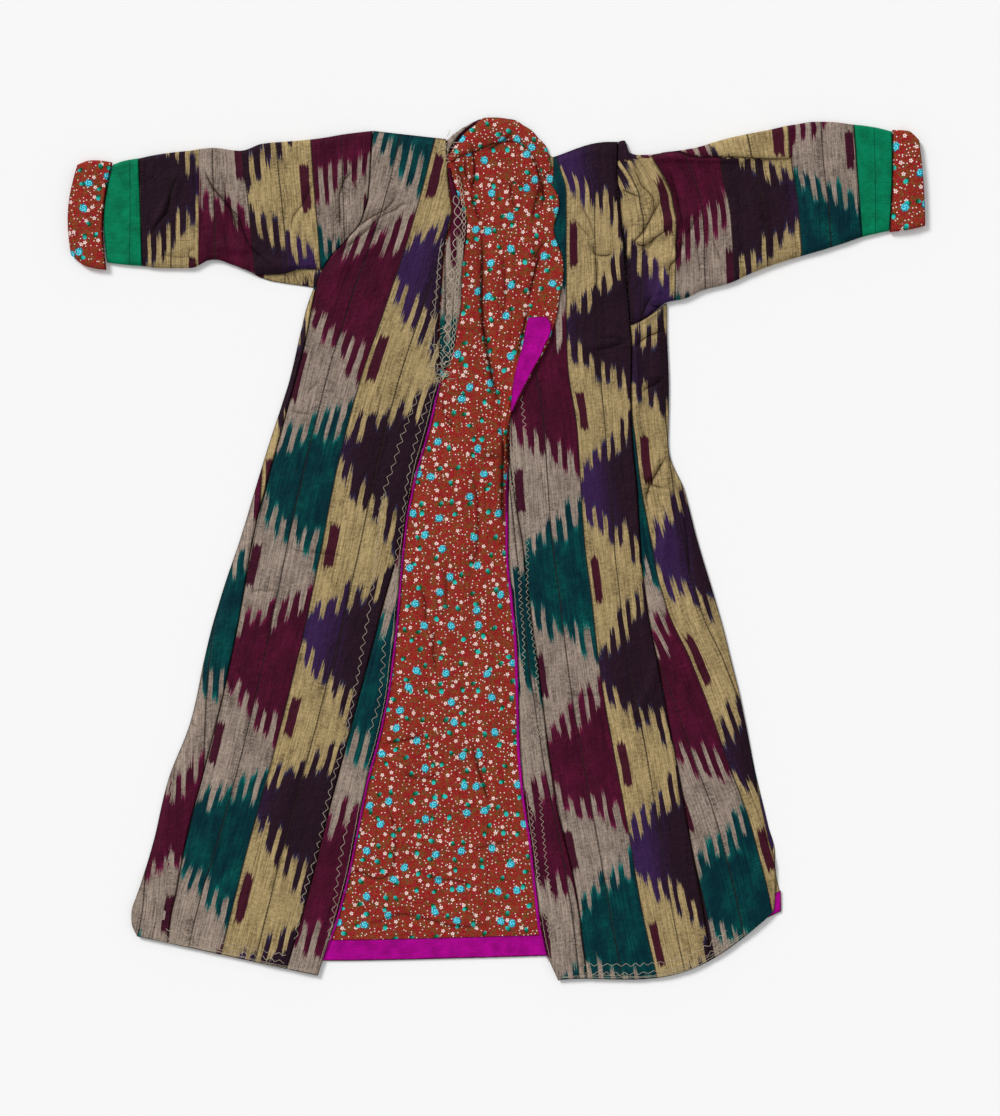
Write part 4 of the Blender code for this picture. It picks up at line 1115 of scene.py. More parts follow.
def nodeGroup(name, inputs, outputs):
    # an empty group: its tree, its wires, what it is given and what it puts out
    tree = bpy.data.node_groups.new(name, "ShaderNodeTree")
    for socket, kind in inputs:
        tree.interface.new_socket(socket, in_out="INPUT", socket_type=kind)
    for socket, kind in outputs:
        tree.interface.new_socket(socket, in_out="OUTPUT", socket_type=kind)
    wires = Wires(tree)
    return tree, wires, wires.add("NodeGroupInput").outputs, wires.add("NodeGroupOutput").inputs


def colour(text, strength=1.0):
    # a hex colour as linear light
    parts = [int(text[i : i + 2], 16) / 255 for i in (1, 3, 5)]
    linear = [p / 12.92 if p <= 0.04045 else ((p + 0.055) / 1.055) ** 2.4 for p in parts]
    return tuple(strength * p for p in linear) + (1.0,)


ikatLooks = {
    "greige": "#a9978a", "greigeDark": "#4a3e36", "tan": "#b9a273", "tanDark": "#5e4c2e",
    "maroon": "#410c23", "maroonLight": "#540f2c", "maroonTip": "#7c1c49", "bar": "#3c0620",
    "teal": "#012b34", "tealLight": "#024a47", "tealTip": "#138078",
    # stitch: the colour of the quilting rows, painted shade in their grooves together with the stitches
    "purple": "#371f49", "black": "#25131f", "nightTip": "#2d3358", "stitch": "#241b18",
    "stripes": 12.0, "threads": 62.0, "tooth": 0.04, "feather": 0.008, "bleed": 0.2, "tip": 0.75,
    # half a block's height at its column's left side, and how much more at its right
    "greigeBlock": (0.175, 0.2), "tanBlock": (0.105, 0.28),
    # half a bar's height, the place of its middle, and where its sides fade
    "barLong": 0.12, "barPlace": 0.065, "barSide": (0.062, 0.075),
    # the quilting rows' width and the pace of their stitches, then how dark the painted shade is in crinkles
    # and puckers
    "stitchWide": (0.01, 0.03), "stitchPace": 380.0, "crinkle": 0.34, "pucker": 0.3,
}


def makeIkatGroup():
    # dyed cloth worked out from the loom's coordinates: its columns, blocks, bars, threads and stitches,
    # and painted shade in its quilting grooves, crinkles and puckers
    looks = ikatLooks
    tree, w, given, made = nodeGroup(
        "ikatCloth", [("Grain", "NodeSocketVector")],
        [("Color", "NodeSocketColor"), ("Height", "NodeSocketFloat"), ("Roughness", "NodeSocketFloat")],
    )
    across, oddDown, evenDown = w.split(given["Grain"])
    column = w.math("FLOOR", across)
    isTan = w.math("LESS_THAN", w.math("FLOORED_MODULO", column, 2.0), 0.5)
    down = w.blend(isTan, oddDown, evenDown)
    wander = w.minus(w.noise(w.join(w.times(across, 2.5), w.times(down, 7.0)), 1.0, 2.0), 0.5)
    share = w.plus(w.minus(across, column), w.times(wander, 0.05))
    share = w.math("MAXIMUM", w.math("MINIMUM", share, 0.999), 0.001)
    uneven = w.minus(w.noise(w.join(w.times(across, 7.0), 3.0), 1.0, 0.0), 0.5)
    stripePlace = w.plus(w.times(share, looks["stripes"]), w.times(uneven, 0.9))
    stripe = w.math("FLOOR", stripePlace)
    stripeNumber = w.plus(stripe, w.times(column, looks["stripes"]))
    thread = w.math("FLOOR", w.times(across, looks["threads"]))

    # dyed blocks: wider from stripe to stripe, with teeth at both ends of every second stripe. Threads
    # that slipped while being dyed leave ragged tips.
    block = w.math("ROUND", down)
    away = w.minus(down, block)
    end = w.math("SIGN", away)
    away = w.math("ABSOLUTE", away)
    greigeHalf, tanHalf = (w.plus(least, w.times(share, more))
                           for least, more in (looks["greigeBlock"], looks["tanBlock"]))
    half = w.blend(isTan, greigeHalf, tanHalf)
    luck = w.minus(w.chance(stripeNumber, block, end), 0.5)
    threadLuck = w.minus(w.chance(thread, block, end), 0.5)
    tuft = w.minus(w.noise(w.join(w.times(across, 75.0), w.times(down, 4.0)), 1.0, 2.0), 0.5)
    wave = w.times(w.math("SINE", w.times(stripePlace, math.pi)), -1.0)
    square = w.math("MAXIMUM", w.math("MINIMUM", w.times(w.plus(wave, 0.12), 7.0), 1.0), -1.0)
    tooth = w.plus(w.times(square, 0.9), w.times(wave, 0.15))
    tooth = w.times(tooth, w.plus(looks["tooth"], w.times(share, looks["tooth"])))
    reach = w.plus(half, tooth, w.times(luck, 0.075), w.times(threadLuck, 0.03), w.times(tuft, 0.14))
    inBlock = w.minus(reach, away)
    dyed = w.ramp(inBlock, -looks["feather"], looks["feather"])
    bleed = w.times(w.ramp(inBlock, -0.05, 0.0), w.minus(1.0, dyed), looks["bleed"])
    tip = w.minus(1.0, w.ramp(inBlock, 0.004, 0.04))
    tip = w.times(w.ramp(inBlock, -0.012, 0.006), tip, looks["tip"])

    # one maroon bar in each gap, under two stripes wide
    gap = w.minus(down, w.plus(w.math("FLOOR", down), 0.5))
    barLuck = w.minus(w.chance(stripeNumber, w.math("FLOOR", down), 5.0), 0.5)
    barLuck = w.times(barLuck, 0.02)
    barReach = w.plus(looks["barLong"], barLuck, w.times(threadLuck, 0.025), w.times(tuft, 0.04))
    barMiddle = w.plus(looks["barPlace"], w.times(isTan, looks["barPlace"]))
    barAside = w.math("ABSOLUTE", w.minus(share, barMiddle))
    barSide = w.minus(1.0, w.ramp(barAside, *looks["barSide"]))
    bar = w.times(w.ramp(w.minus(barReach, w.math("ABSOLUTE", gap)), -0.01, 0.01), barSide)

    # threads, every one a little different, long streaks in the dye and uneven fading
    streak = w.noise(w.join(w.times(across, 38.0), w.times(down, 2.0)), 1.0, 3.0, 0.6)
    cloud = w.noise(w.join(w.times(across, 3.0), w.times(down, 5.0)), 1.0, 3.0, 0.6)
    fine = w.noise(w.join(w.times(across, 130.0), w.times(down, 60.0)), 1.0, 1.0)
    weft = w.noise(w.join(w.times(across, 12.0), w.times(down, 95.0)), 1.0, 1.0)
    slub = w.noise(w.join(w.times(across, 52.0), w.times(down, 9.0)), 1.0, 1.0)
    tone = w.plus(w.times(w.minus(streak, 0.5), 1.1), w.times(w.minus(fine, 0.5), 0.9))
    tone = w.plus(tone, w.times(w.minus(slub, 0.5), 1.1), w.times(w.minus(weft, 0.5), 0.6))
    tone = w.plus(tone, w.times(w.minus(cloud, 0.5), 0.8), 0.36)
    tone = w.math("MAXIMUM", w.math("MINIMUM", tone, 1.0), 0.0)
    greige = w.mix(tone, colour(looks["greige"]), colour(looks["greigeDark"]))
    tan = w.mix(tone, colour(looks["tan"]), colour(looks["tanDark"]))
    ground = w.mix(isTan, greige, tan)
    isOdd = w.math("GREATER_THAN", w.math("FLOORED_MODULO", block, 2.0), 0.5)
    deep = w.ramp(w.plus(w.times(streak, 0.45), w.times(cloud, 0.85)), 0.52, 0.9)
    maroon = w.mix(deep, colour(looks["maroon"]), colour(looks["maroonLight"]))
    teal = w.mix(deep, colour(looks["teal"]), colour(looks["tealLight"]))
    warm = w.mix(isOdd, maroon, teal)
    warmTip = w.mix(isOdd, colour(looks["maroonTip"]), colour(looks["tealTip"]))
    inward = w.plus(share, w.times(w.minus(streak, 0.5), 0.9), w.times(isOdd, 0.45))
    night = w.mix(w.ramp(inward, 0.15, 0.7), colour(looks["purple"]), colour(looks["black"]))
    dye = w.mix(isTan, warm, night)
    tips = w.mix(isTan, warmTip, colour(looks["nightTip"]))
    dye = w.mix(w.times(tip, w.ramp(cloud, 0.35, 0.65)), dye, tips)
    worn = w.plus(0.58, w.times(streak, 0.34), w.times(cloud, 0.5), w.times(w.minus(fine, 0.5), 0.6))
    dye = w.mix(1.0, dye, w.join(worn, worn, worn), "MULTIPLY")
    cloth = w.mix(w.math("MAXIMUM", dyed, bleed), ground, dye)
    cloth = w.mix(w.times(bar, 0.98), cloth, colour(looks["bar"]))

    # rows of quilting stitches at every half column, each a thin line of painted shade in its groove that is
    # darker at the stitches; and painted shade in the crinkles and puckers across the threads
    half = w.times(w.plus(across, w.times(wander, 0.012)), 2.0)
    edge = w.math("ABSOLUTE", w.minus(half, w.math("ROUND", half)))
    dashes = w.ramp(w.math("SINE", w.times(down, looks["stitchPace"])), -0.7, 0.1)
    sewn = w.times(w.minus(1.0, w.ramp(edge, *looks["stitchWide"])), w.plus(0.62, w.times(dashes, 0.25)))
    cloth = w.mix(sewn, cloth, colour(looks["stitch"]))
    crinkle = w.noise(w.join(w.times(across, 4.5), w.times(down, 34.0)), 1.0, 2.0, 0.5)
    crinkle = w.minus(1.0, w.ramp(w.math("ABSOLUTE", w.minus(crinkle, 0.5)), 0.0, 0.045))
    crinkle = w.times(crinkle, w.ramp(w.plus(cloud, w.times(w.minus(0.25, edge), 0.5)), 0.5, 0.68))
    pucker = w.noise(w.join(w.times(across, 9.0), w.times(down, 1.6)), 1.0, 1.0)
    pucker = w.minus(1.0, w.ramp(w.math("ABSOLUTE", w.minus(pucker, 0.5)), 0.0, 0.02))
    pucker = w.times(pucker, w.ramp(weft, 0.3, 0.55))
    # painted shade in the crinkles and puckers
    shade = w.minus(1.0, w.times(crinkle, looks["crinkle"]))
    shade = w.times(shade, w.minus(1.0, w.times(pucker, looks["pucker"])))
    w.put(made["Color"], w.mix(1.0, cloth, w.join(shade, shade, shade), "MULTIPLY"))
    relief = w.plus(w.times(fine, 0.35), w.times(streak, 0.7), w.times(crinkle, -0.9), w.times(sewn, -0.8))
    relief = w.plus(relief, w.times(pucker, -0.5))
    w.put(made["Height"], relief)
    w.put(made["Roughness"], w.plus(0.55, w.times(streak, 0.2)))
    return tree


flowerLooks = {
    "ground": "#bc2528", "groundDark": "#360508", "crimson": "#9c1238", "olive": "#7c6426",
    "green": "#2a5c26", "rose": "#12abc8", "roseDark": "#063c55", "roseLight": "#86f0f6",
    "bud": "#2cc6bc", "budDark": "#0c6a50", "leaf": "#16471f", "petal": "#fdeee6", "eye": "#cf3440",
    "roseEvery": 46.0, "budEvery": 26.0, "starEvery": 16.0, "dotEvery": 6.0,
    "roseSize": 5.3, "budSize": 2.1, "leafSize": 3.2, "starSize": 0.8, "eyeSize": 0.9, "dotSize": 0.82,
    # the luck that a flower needs to grow: the lower, the more of them
    "budLuck": 0.16, "starLuck": 0.54, "dotLuck": 1.62,
}


def makeFlowerGroup():
    # a scattered print, all of it worked out from loosely set points: roses, buds, stars and dots
    looks = flowerLooks
    tree, w, given, made = nodeGroup(
        "floweredCotton", [("Print", "NodeSocketVector"), ("Size", "NodeSocketFloat")],
        [("Color", "NodeSocketColor"), ("Height", "NodeSocketFloat")],
    )
    right, up = w.split(given["Print"])[:2]
    right, up = w.math("DIVIDE", right, given["Size"]), w.math("DIVIDE", up, given["Size"])
    place = w.join(right, up)

    def scatter(every, looseness, move):
        # the nearest of many loosely set points: which way and how far it is, and its random numbers
        node = w.add("ShaderNodeTexVoronoi", voronoi_dimensions="2D", feature="F1")
        movedX = w.math("DIVIDE", w.plus(right, move), every)
        movedY = w.math("DIVIDE", w.plus(up, move * 2), every)
        w.put(node.inputs["Vector"], w.join(movedX, movedY))
        node.inputs["Scale"].default_value = 1.0
        node.inputs["Randomness"].default_value = looseness
        pointX, pointY = w.split(node.outputs["Position"])[:2]
        awayX, awayY = w.times(w.minus(movedX, pointX), every), w.times(w.minus(movedY, pointY), every)
        return awayX, awayY, w.split(node.outputs["Color"])

    def turned(x, y, angle, longer):
        # the same place seen along a direction, shortened along it so that shapes come out as ovals
        alongX, alongY = w.math("COSINE", angle), w.math("SINE", angle)
        along = w.math("DIVIDE", w.plus(w.times(x, alongX), w.times(y, alongY)), longer)
        aside = w.minus(w.times(y, alongX), w.times(x, alongY))
        far = w.math("SQRT", w.plus(w.times(along, along), w.times(aside, aside)))
        return along, far, w.math("ARCTAN2", aside, along)

    def inside(far, edge, soft):
        # 1 nearer than the edge, 0 beyond it, with a soft rim
        return w.ramp(w.minus(edge, far), -soft, soft)

    def lines(size, move, wide):
        # thin winding lines: where a soft noise passes its middle
        wound = w.noise(w.join(w.plus(right, move), up), size, 2.0, 0.6)
        return w.minus(1.0, w.ramp(w.math("ABSOLUTE", w.minus(wound, 0.5)), wide / 2, wide))

    speckle = w.noise(place, 0.75, 2.0, 0.7)
    cloth = w.mix(w.ramp(speckle, 0.4, 0.64), colour(looks["ground"]), colour(looks["groundDark"]))
    berry = w.ramp(w.noise(w.join(right, w.plus(up, 150.0)), 0.2, 2.0), 0.48, 0.64)
    cloth = w.mix(w.times(berry, 0.6), cloth, colour(looks["crimson"]))
    patches = w.ramp(w.noise(w.join(right, w.plus(up, 90.0)), 0.09, 2.0), 0.42, 0.58)
    flecks = w.ramp(w.noise(w.join(right, w.plus(up, 33.0)), 0.33, 1.0), 0.38, 0.5)
    grown = w.plus(0.35, w.times(patches, 0.65))
    cloth = w.mix(w.times(lines(0.2, 40.0, 0.036), grown, flecks, 0.75), cloth, colour(looks["olive"]))
    cloth = w.mix(w.times(lines(0.24, 77.0, 0.03), grown, 0.9), cloth, colour(looks["green"]))

    x, y, luck = scatter(looks["dotEvery"], 0.9, 11.0)
    far = turned(x, y, 0.0, 1.0)[1]
    clusters = w.noise(w.join(w.plus(right, 15.0), up), 0.075, 1.0)
    dense = w.plus(luck[0], w.times(clusters, 2.2))
    dot = w.times(inside(far, looks["dotSize"], 0.25), w.math("GREATER_THAN", dense, looks["dotLuck"]))
    cloth = w.mix(w.times(dot, 0.95), cloth, colour(looks["petal"]))

    x, y, luck = scatter(looks["starEvery"], 0.85, 31.0)
    far, angle = turned(x, y, w.times(luck[1], 6.0), 1.0)[1:]
    petals = w.math("POWER", w.math("ABSOLUTE", w.math("COSINE", w.times(angle, 2.5))), 0.7)
    star = inside(far, w.plus(looks["starSize"], w.times(petals, 2.1)), 0.2)
    star = w.times(star, w.math("GREATER_THAN", luck[0], looks["starLuck"]))
    eye = w.times(inside(far, looks["eyeSize"], 0.3), 0.85)
    starColour = w.mix(eye, colour(looks["petal"]), colour(looks["eye"]))
    cloth = w.mix(w.times(star, 0.95), cloth, starColour)

    x, y, luck = scatter(looks["budEvery"], 0.8, 71.0)
    along, far = turned(x, y, w.times(luck[1], 6.0), 1.15)[:2]
    rough = w.times(w.minus(w.noise(place, 0.5, 1.0), 0.5), 2.4)
    leaf = inside(w.plus(far, w.times(along, 0.35), rough), looks["leafSize"], 0.3)
    grown = w.math("GREATER_THAN", luck[0], looks["budLuck"])
    cloth = w.mix(w.times(leaf, grown, w.ramp(along, -0.2, -1.0)), cloth, colour(looks["leaf"]))
    bud = inside(w.plus(far, w.times(rough, 0.8)), w.plus(looks["budSize"], w.times(luck[2], 1.2)), 0.3)
    bud = w.times(bud, grown)
    budTone = w.plus(w.times(along, 0.12), w.times(luck[1], 0.6), w.times(rough, 0.45), 0.3)
    budColour = w.mix(w.ramp(budTone, 0.1, 0.9), colour(looks["budDark"]), colour(looks["bud"]))
    cloth = w.mix(bud, cloth, budColour)

    x, y, luck = scatter(looks["roseEvery"], 0.78, 0.0)
    far, angle = turned(x, y, w.times(luck[1], 6.283), 1.15)[1:]
    torn = w.times(w.minus(w.noise(place, 0.42, 2.0, 0.6), 0.5), 5.0)
    ragged = w.plus(w.times(w.math("SINE", w.plus(w.times(angle, 7.0), w.times(luck[2], 6.0))), 0.5), torn)
    edge = w.plus(looks["roseSize"], ragged)
    rose = inside(far, edge, 0.3)
    swirl = w.math("SINE", w.plus(w.times(far, 1.9), w.times(angle, 2.0), w.times(luck[0], 6.0)))
    grain = w.times(w.minus(w.noise(w.join(w.times(right, 0.9), w.times(up, 0.45)), 1.0, 1.0), 0.5), 3.0)
    lit = w.plus(w.times(swirl, 0.6), grain, 0.15)
    roseColour = w.mix(w.ramp(lit, 0.1, 0.7), colour(looks["rose"]), colour(looks["roseLight"]))
    roseColour = w.mix(w.times(w.ramp(lit, -0.3, -0.8), 0.8), roseColour, colour(looks["roseDark"]))
    shaded = w.plus(0.3, w.times(w.ramp(w.minus(x, y), -1.0, 4.0), 0.6))
    rim = w.times(w.ramp(w.minus(far, edge), -2.0, -0.3), shaded)
    roseColour = w.mix(rim, roseColour, colour(looks["roseDark"]))
    cloth = w.mix(rose, cloth, roseColour)

    weave = w.noise(w.join(w.times(right, 1.6), w.times(up, 0.5)), 1.0, 2.0)
    worn = w.plus(0.76, w.times(w.noise(place, 0.02, 3.0), 0.3), w.times(weave, 0.16))
    w.put(made["Color"], w.mix(1.0, cloth, w.join(worn, worn, worn), "MULTIPLY"))
    w.put(made["Height"], w.plus(w.times(weave, 0.4), w.times(w.noise(place, 0.09, 2.0), 1.2)))
    return tree


def surface(name, roughness, bump):
    # a material with its bump; returns it with its wires, shader and bump node
    made = bpy.data.materials.new(name)
    made.use_nodes = True
    wires = Wires(made.node_tree)
    shader = made.node_tree.nodes["Principled BSDF"]
    shader.inputs["Roughness"].default_value = roughness
    shader.inputs["Specular IOR Level"].default_value = 0.06
    relief = wires.add("ShaderNodeBump")
    relief.inputs["Strength"].default_value = bump
    relief.inputs["Distance"].default_value = 0.001
    wires.put(shader.inputs["Normal"], relief.outputs[0])
    return made, wires, shader, relief


def wrinkles(w, size=1.0):
    # rumpling of cloth too fine for the meshes, from its own place in metres
    place = w.add("ShaderNodeTexCoord").outputs["Object"]
    wide = w.noise(place, 48.0 * size, 2.0, 0.5)
    folds = w.math("ABSOLUTE", w.minus(w.noise(place, 85.0 * size, 2.0, 0.5), 0.5))
    thin = w.noise(place, 240.0 * size, 2.0, 0.5)
    return w.plus(w.times(wide, 2.6), w.times(folds, 3.4), w.times(thin, 0.7))


def finishCloth(w, shader, base):
    # cloth is darkened by painted shade where the mesh says so: at seams and edges, and in a fold's thin
    # shadow line and the soft shadow beside it. What is left of the light is a little warmer.
    dark, line, depth = w.split(w.add("ShaderNodeAttribute", attribute_name="shade").outputs["Vector"])
    line = w.math("ABSOLUTE", line)
    thin, soft = w.minus(1.0, w.ramp(line, 0.3, 1.0)), w.minus(1.0, w.ramp(line, 0.0, 3.4))
    fold = w.times(depth, w.plus(w.times(thin, 0.5), w.times(soft, 0.4)))
    lost = w.math("MAXIMUM", w.times(dark, 0.88), fold)
    kept = [w.minus(1.0, w.times(lost, share)) for share in (0.93, 0.97, 1.0)]
    w.put(shader.inputs["Base Color"], w.mix(1.0, base, w.join(*kept), "MULTIPLY"))


def makeIkat():
    # the dyed silk, on each mesh's own loom coordinates
    made, w, shader, relief = surface("ikatSilk", 0.6, 0.8)
    group = w.add("ShaderNodeGroup", node_tree=makeIkatGroup())
    w.put(group.inputs["Grain"], w.add("ShaderNodeAttribute", attribute_name="grain").outputs["Vector"])
    finishCloth(w, shader, group.outputs["Color"])
    w.put(shader.inputs["Roughness"], group.outputs["Roughness"])
    w.put(relief.inputs["Height"], w.plus(w.times(group.outputs["Height"], 0.6), wrinkles(w)))
    return made


def makeFlowered(name, size, group):
    # the flowered cotton, its print this many times its real size
    made, w, shader, relief = surface(name, 0.85, 0.6)
    node = w.add("ShaderNodeGroup", node_tree=group)
    w.put(node.inputs["Print"], w.add("ShaderNodeAttribute", attribute_name="print").outputs["Vector"])
    node.inputs["Size"].default_value = size
    finishCloth(w, shader, node.outputs["Color"])
    w.put(relief.inputs["Height"], w.plus(w.times(node.outputs["Height"], 0.5), wrinkles(w)))
    return made


plainLooks = {
    "magenta": {"light": "#b80597", "dark": "#8a0270", "roughness": 0.8},
    "green": {"light": "#01875d", "dark": "#016443", "roughness": 0.6, "seams": (-0.5575 + 0.026, 0.5475)},
    "thread": {"light": "#d6ccb8", "dark": "#a49882", "roughness": 0.8},
}


def makePlain(name, light, dark, roughness, seams=()):
    # plain cloth, with thin dark rows of stitches at these places across, in metres
    made, w, shader, relief = surface(name, roughness, 0.5)
    place = w.add("ShaderNodeTexCoord").outputs["Object"]
    uneven = w.noise(place, 60.0, 4.0, 0.6)
    x, y = w.split(place)[:2]
    threads = w.noise(w.join(w.times(x, 2400.0), w.times(y, 500.0)), 1.0, 1.0)
    tone = w.plus(w.times(uneven, 0.8), w.times(threads, 0.35))
    cloth = w.mix(w.ramp(tone, 0.3, 0.85), colour(light), colour(dark))
    sewn = 0.0
    for line in seams:
        away = w.math("ABSOLUTE", w.minus(w.plus(x, w.times(w.math("SINE", w.times(y, 22.0)), 0.0012)), line))
        sewn = w.plus(sewn, w.minus(1.0, w.ramp(away, 0.0004, 0.001)))
    cloth = w.mix(w.times(sewn, 0.6), cloth, colour(dark, 0.25))
    finishCloth(w, shader, cloth)
    puckers = w.noise(w.join(w.times(x, 90.0), w.times(y, 420.0)), 1.0, 1.0)
    w.put(relief.inputs["Height"], w.plus(w.times(threads, 0.3), w.times(puckers, 1.2), wrinkles(w)))
    return made


# Meshes


def gridFaces(rows, columns):
    # quads of a closed wall: its top, its underside and its rim
    index = np.arange(rows * columns).reshape(rows, columns)
    corner = index[:-1, :-1]
    quads = np.stack([corner, index[1:, :-1], index[1:, 1:], index[:-1, 1:]], -1).reshape(-1, 4)
    rim = np.concatenate([index[0, :], index[1:, -1], index[-1, -2::-1], index[-2:0:-1, 0]])
    follow = np.roll(rim, -1)
    under = rows * columns
    sides = np.stack([rim, follow, follow + under, rim + under], -1)
    return np.concatenate([quads, quads[:, ::-1] + under, sides])


def ringFaces(sections, around, flipped):
    # quads of a tube with a wall: its outside, its inside and a rim at each end
    index = np.arange(sections * around).reshape(sections, around)
    follow = np.roll(index, -1, 1)
    outside = np.stack([index[:-1], index[1:], follow[1:], follow[:-1]], -1).reshape(-1, 4)
    inner = sections * around
    start = np.stack([index[0], follow[0], follow[0] + inner, index[0] + inner], -1)
    finish = np.stack([index[-1] + inner, follow[-1] + inner, follow[-1], index[-1]], -1)
    faces = np.concatenate([outside, outside[:, ::-1] + inner, start, finish])
    return faces[:, ::-1] if flipped else faces


def addMesh(name, points, faces, material, shade=None, attribute=None, values=None):
    # one piece from its points in millimetres, with its shading and its pattern's coordinates
    shape = bpy.data.meshes.new(name)
    shape.vertices.add(len(points))
    shape.vertices.foreach_set("co", (points * metres).astype(np.float32).ravel())
    sides = faces.shape[1]
    shape.loops.add(faces.size)
    shape.loops.foreach_set("vertex_index", faces.astype(np.int32).ravel())
    shape.polygons.add(len(faces))
    shape.polygons.foreach_set("loop_start", np.arange(0, faces.size, sides, dtype=np.int32))
    shape.update(calc_edges=True)
    shape.validate()
    shape.shade_smooth()
    for title, vectors in (("shade", shade if shade is None else shade.T), (attribute, values)):
        if vectors is not None:
            layer = shape.attributes.new(title, "FLOAT_VECTOR", "POINT")
            layer.data.foreach_set("vector", vectors.astype(np.float32).ravel())
    shape.materials.append(material)
    made = bpy.data.objects.new(name, shape)
    bpy.context.scene.collection.objects.link(made)
    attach(made, "root")
    return made


ikat = makeIkat()
flowerGroup = makeFlowerGroup()
flowered = makeFlowered("floweredLining", 1.0, flowerGroup)
floweredCuff = makeFlowered("floweredCuff", 1.12, flowerGroup)
magenta = makePlain("magentaFacing", **plainLooks["magenta"])
green = makePlain("greenBand", **plainLooks["green"])
thread = makePlain("creamThread", **plainLooks["thread"])
say("materials")


built = {}
clothOf = {"ikat": ikat, "flowered": flowered, "magenta": magenta, "green": green, "right_cuff": floweredCuff}


def addPiece(node, slot, points, faces, shade, turn):
    # one piece in place of a node and named after it, with its cloth and its pattern's coordinates
    first, *others = node.split("_")
    name = first + "".join(word.title() for word in others)
    x, y = points[:, 0], points[:, 1]
    attribute, values = None, None
    if slot == "ikat":
        attribute, values = "grain", grainOf(x, y, ikats[node])
    if slot == "flowered":
        attribute, values = "print", printOf(x, y, *turn)
    made = addMesh(name, points, faces, clothOf.get(node, clothOf[slot]), shade, attribute, values)
    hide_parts(node)
    built[node] = made


def addSheet(node, slot, grid, turn=()):
    # a closed wall from a grid's top and underside, turned over if its outline runs clockwise
    x, y, low, high, shade = grid
    twice = ((x[1:, 1:] - x[:-1, :-1]) * (y[:-1, 1:] - y[1:, :-1])
             - (y[1:, 1:] - y[:-1, :-1]) * (x[:-1, 1:] - x[1:, :-1]))
    if twice.sum() < 0:
        x, y, low, high, shade = (part[..., ::-1] for part in grid)
    points = np.concatenate([np.stack([x, y, z], -1).reshape(-1, 3) for z in (high, low)])
    shade = np.concatenate([shade.reshape(3, -1)] * 2, 1)
    addPiece(node, slot, points, gridFaces(*x.shape), shade, turn)


def addTube(node, slot, turn=()):
    # a flattened tube from its outer and inner rings
    rings, shade = tubeRings(node, seed=len(node))
    sections, around = rings[0].shape[:2]
    points = np.concatenate([ring.reshape(-1, 3) for ring in rings])
    addPiece(node, slot, points, ringFaces(sections, around, node.startswith("right")), shade, turn)


addSheet("back_panel", "ikat", backSheet())
addSheet("back_lining", "flowered", liningSheet(), (0.04, 0, 0))
addSheet("back_hem_facing", "magenta", hemFacingSheet())
for side, seed, goreChannels, cuffTurn in (("left", 41, 1, 1.7), ("right", 61, 2, -1.4)):
    for piece, outer, inner, channels in (
        ("front_panel", "gore", "wedge", 4), ("side_gore", "side", "gore", goreChannels),
        ("front_wedge", "wedge", "edge", 1),
    ):
        addSheet(f"{side}_{piece}", "ikat", frontSheet(side, outer, inner, channels, seed))
    addSheet(f"{side}_front_facing", "magenta", edgeFacingSheet(side))
    addTube(f"{side}_sleeve", "ikat")
    addTube(f"{side}_sleeve_end", "green")
    addTube(f"{side}_cuff", "flowered", (cuffTurn, 240 + seed, 90))
say("fronts and sleeves")

for node, slot, step, under, wall, softness, turn in (
    ("right_lapel", "flowered", 3.0, lapelLow, lapelWall, 3.5, (-0.12, 410, 57)),
    ("right_lapel_facing", "magenta", 2.4, onLapel, facingWall, 1.2, ()),
    ("left_collar_band", "ikat", 2.2, onLining, bandWall, 2.0, ()),
    ("neck_band", "flowered", 2.2, onLining, neckWall, 3.0, (0.5, 150, 330)),
    ("neck_band_outer", "ikat", 1.6, onLining, bandWall, 1.4, ()),
    ("left_underarm_gusset", "ikat", 2.2, onFloor, bandWall, 1.6, ()),
):
    addSheet(node, slot, stripSheet(node, step, under, wall, softness), turn)
say("neck and lapel")


# Stitches: rows of zigzag and loop stitches on top of the cloth. A row of points for each guide line.

stitchRows = {
    "left": {
        "guides": [
            [(-78, 445), (-82, 416), (-86, 376), (-91, 347), (-96, 306), (-98, 267), (-114, 223),
             (-130, 180), (-147, 126), (-165, 71), (-176, -16), (-191, -132), (-205, -204),
             (-220, -277), (-237, -335), (-253, -407), (-268, -465), (-282, -516), (-291, -567)],
            [(-92, 233), (-111, 173), (-124, 122), (-133, 71), (-140, 13), (-153, -59), (-162, -132),
             (-169, -204), (-183, -262), (-201, -342), (-220, -422), (-234, -509), (-246, -574)],
        ],
        "hem": (8.5, 19.0), "hemFrom": (0.19, 0.86),
        "straight": ((3.0, 250, -590), (7.0, 450, 250)), "hemStraight": (2.4, 4.8),
    },
    "right": {
        "guides": [
            [(36, 222), (38, 202), (41, 173), (44, 115), (44, 71), (44, -1), (46, -74), (53, -132),
             (59, -190), (60, -248), (60, -306), (65, -364), (70, -436), (76, -487), (88, -545), (101, -581)],
            [(25, 173), (25, 115), (28, 42), (33, -16), (37, -103), (40, -190), (43, -277), (50, -364),
             (57, -436), (69, -516), (82, -574)],
        ],
        "hem": (9.5, 21.0), "hemFrom": (0.1, 0.86),
        "straight": ((3.0, 190, -590),), "hemStraight": (2.6, 5.4),
    },
}
# how long one turn of the thread is, how far it swings to each side, and how thick it is
zigzagLooks = {"pitch": {"left": 15.5, "right": 9.6}, "reach": {"left": 2.7, "right": 2.3},
               "hemPitch": 13.0, "hemReach": 2.1, "thick": 0.6}
runningLooks = {"pitch": 9.0, "reach": 0.35, "thick": 0.5, "loopThick": 0.95}
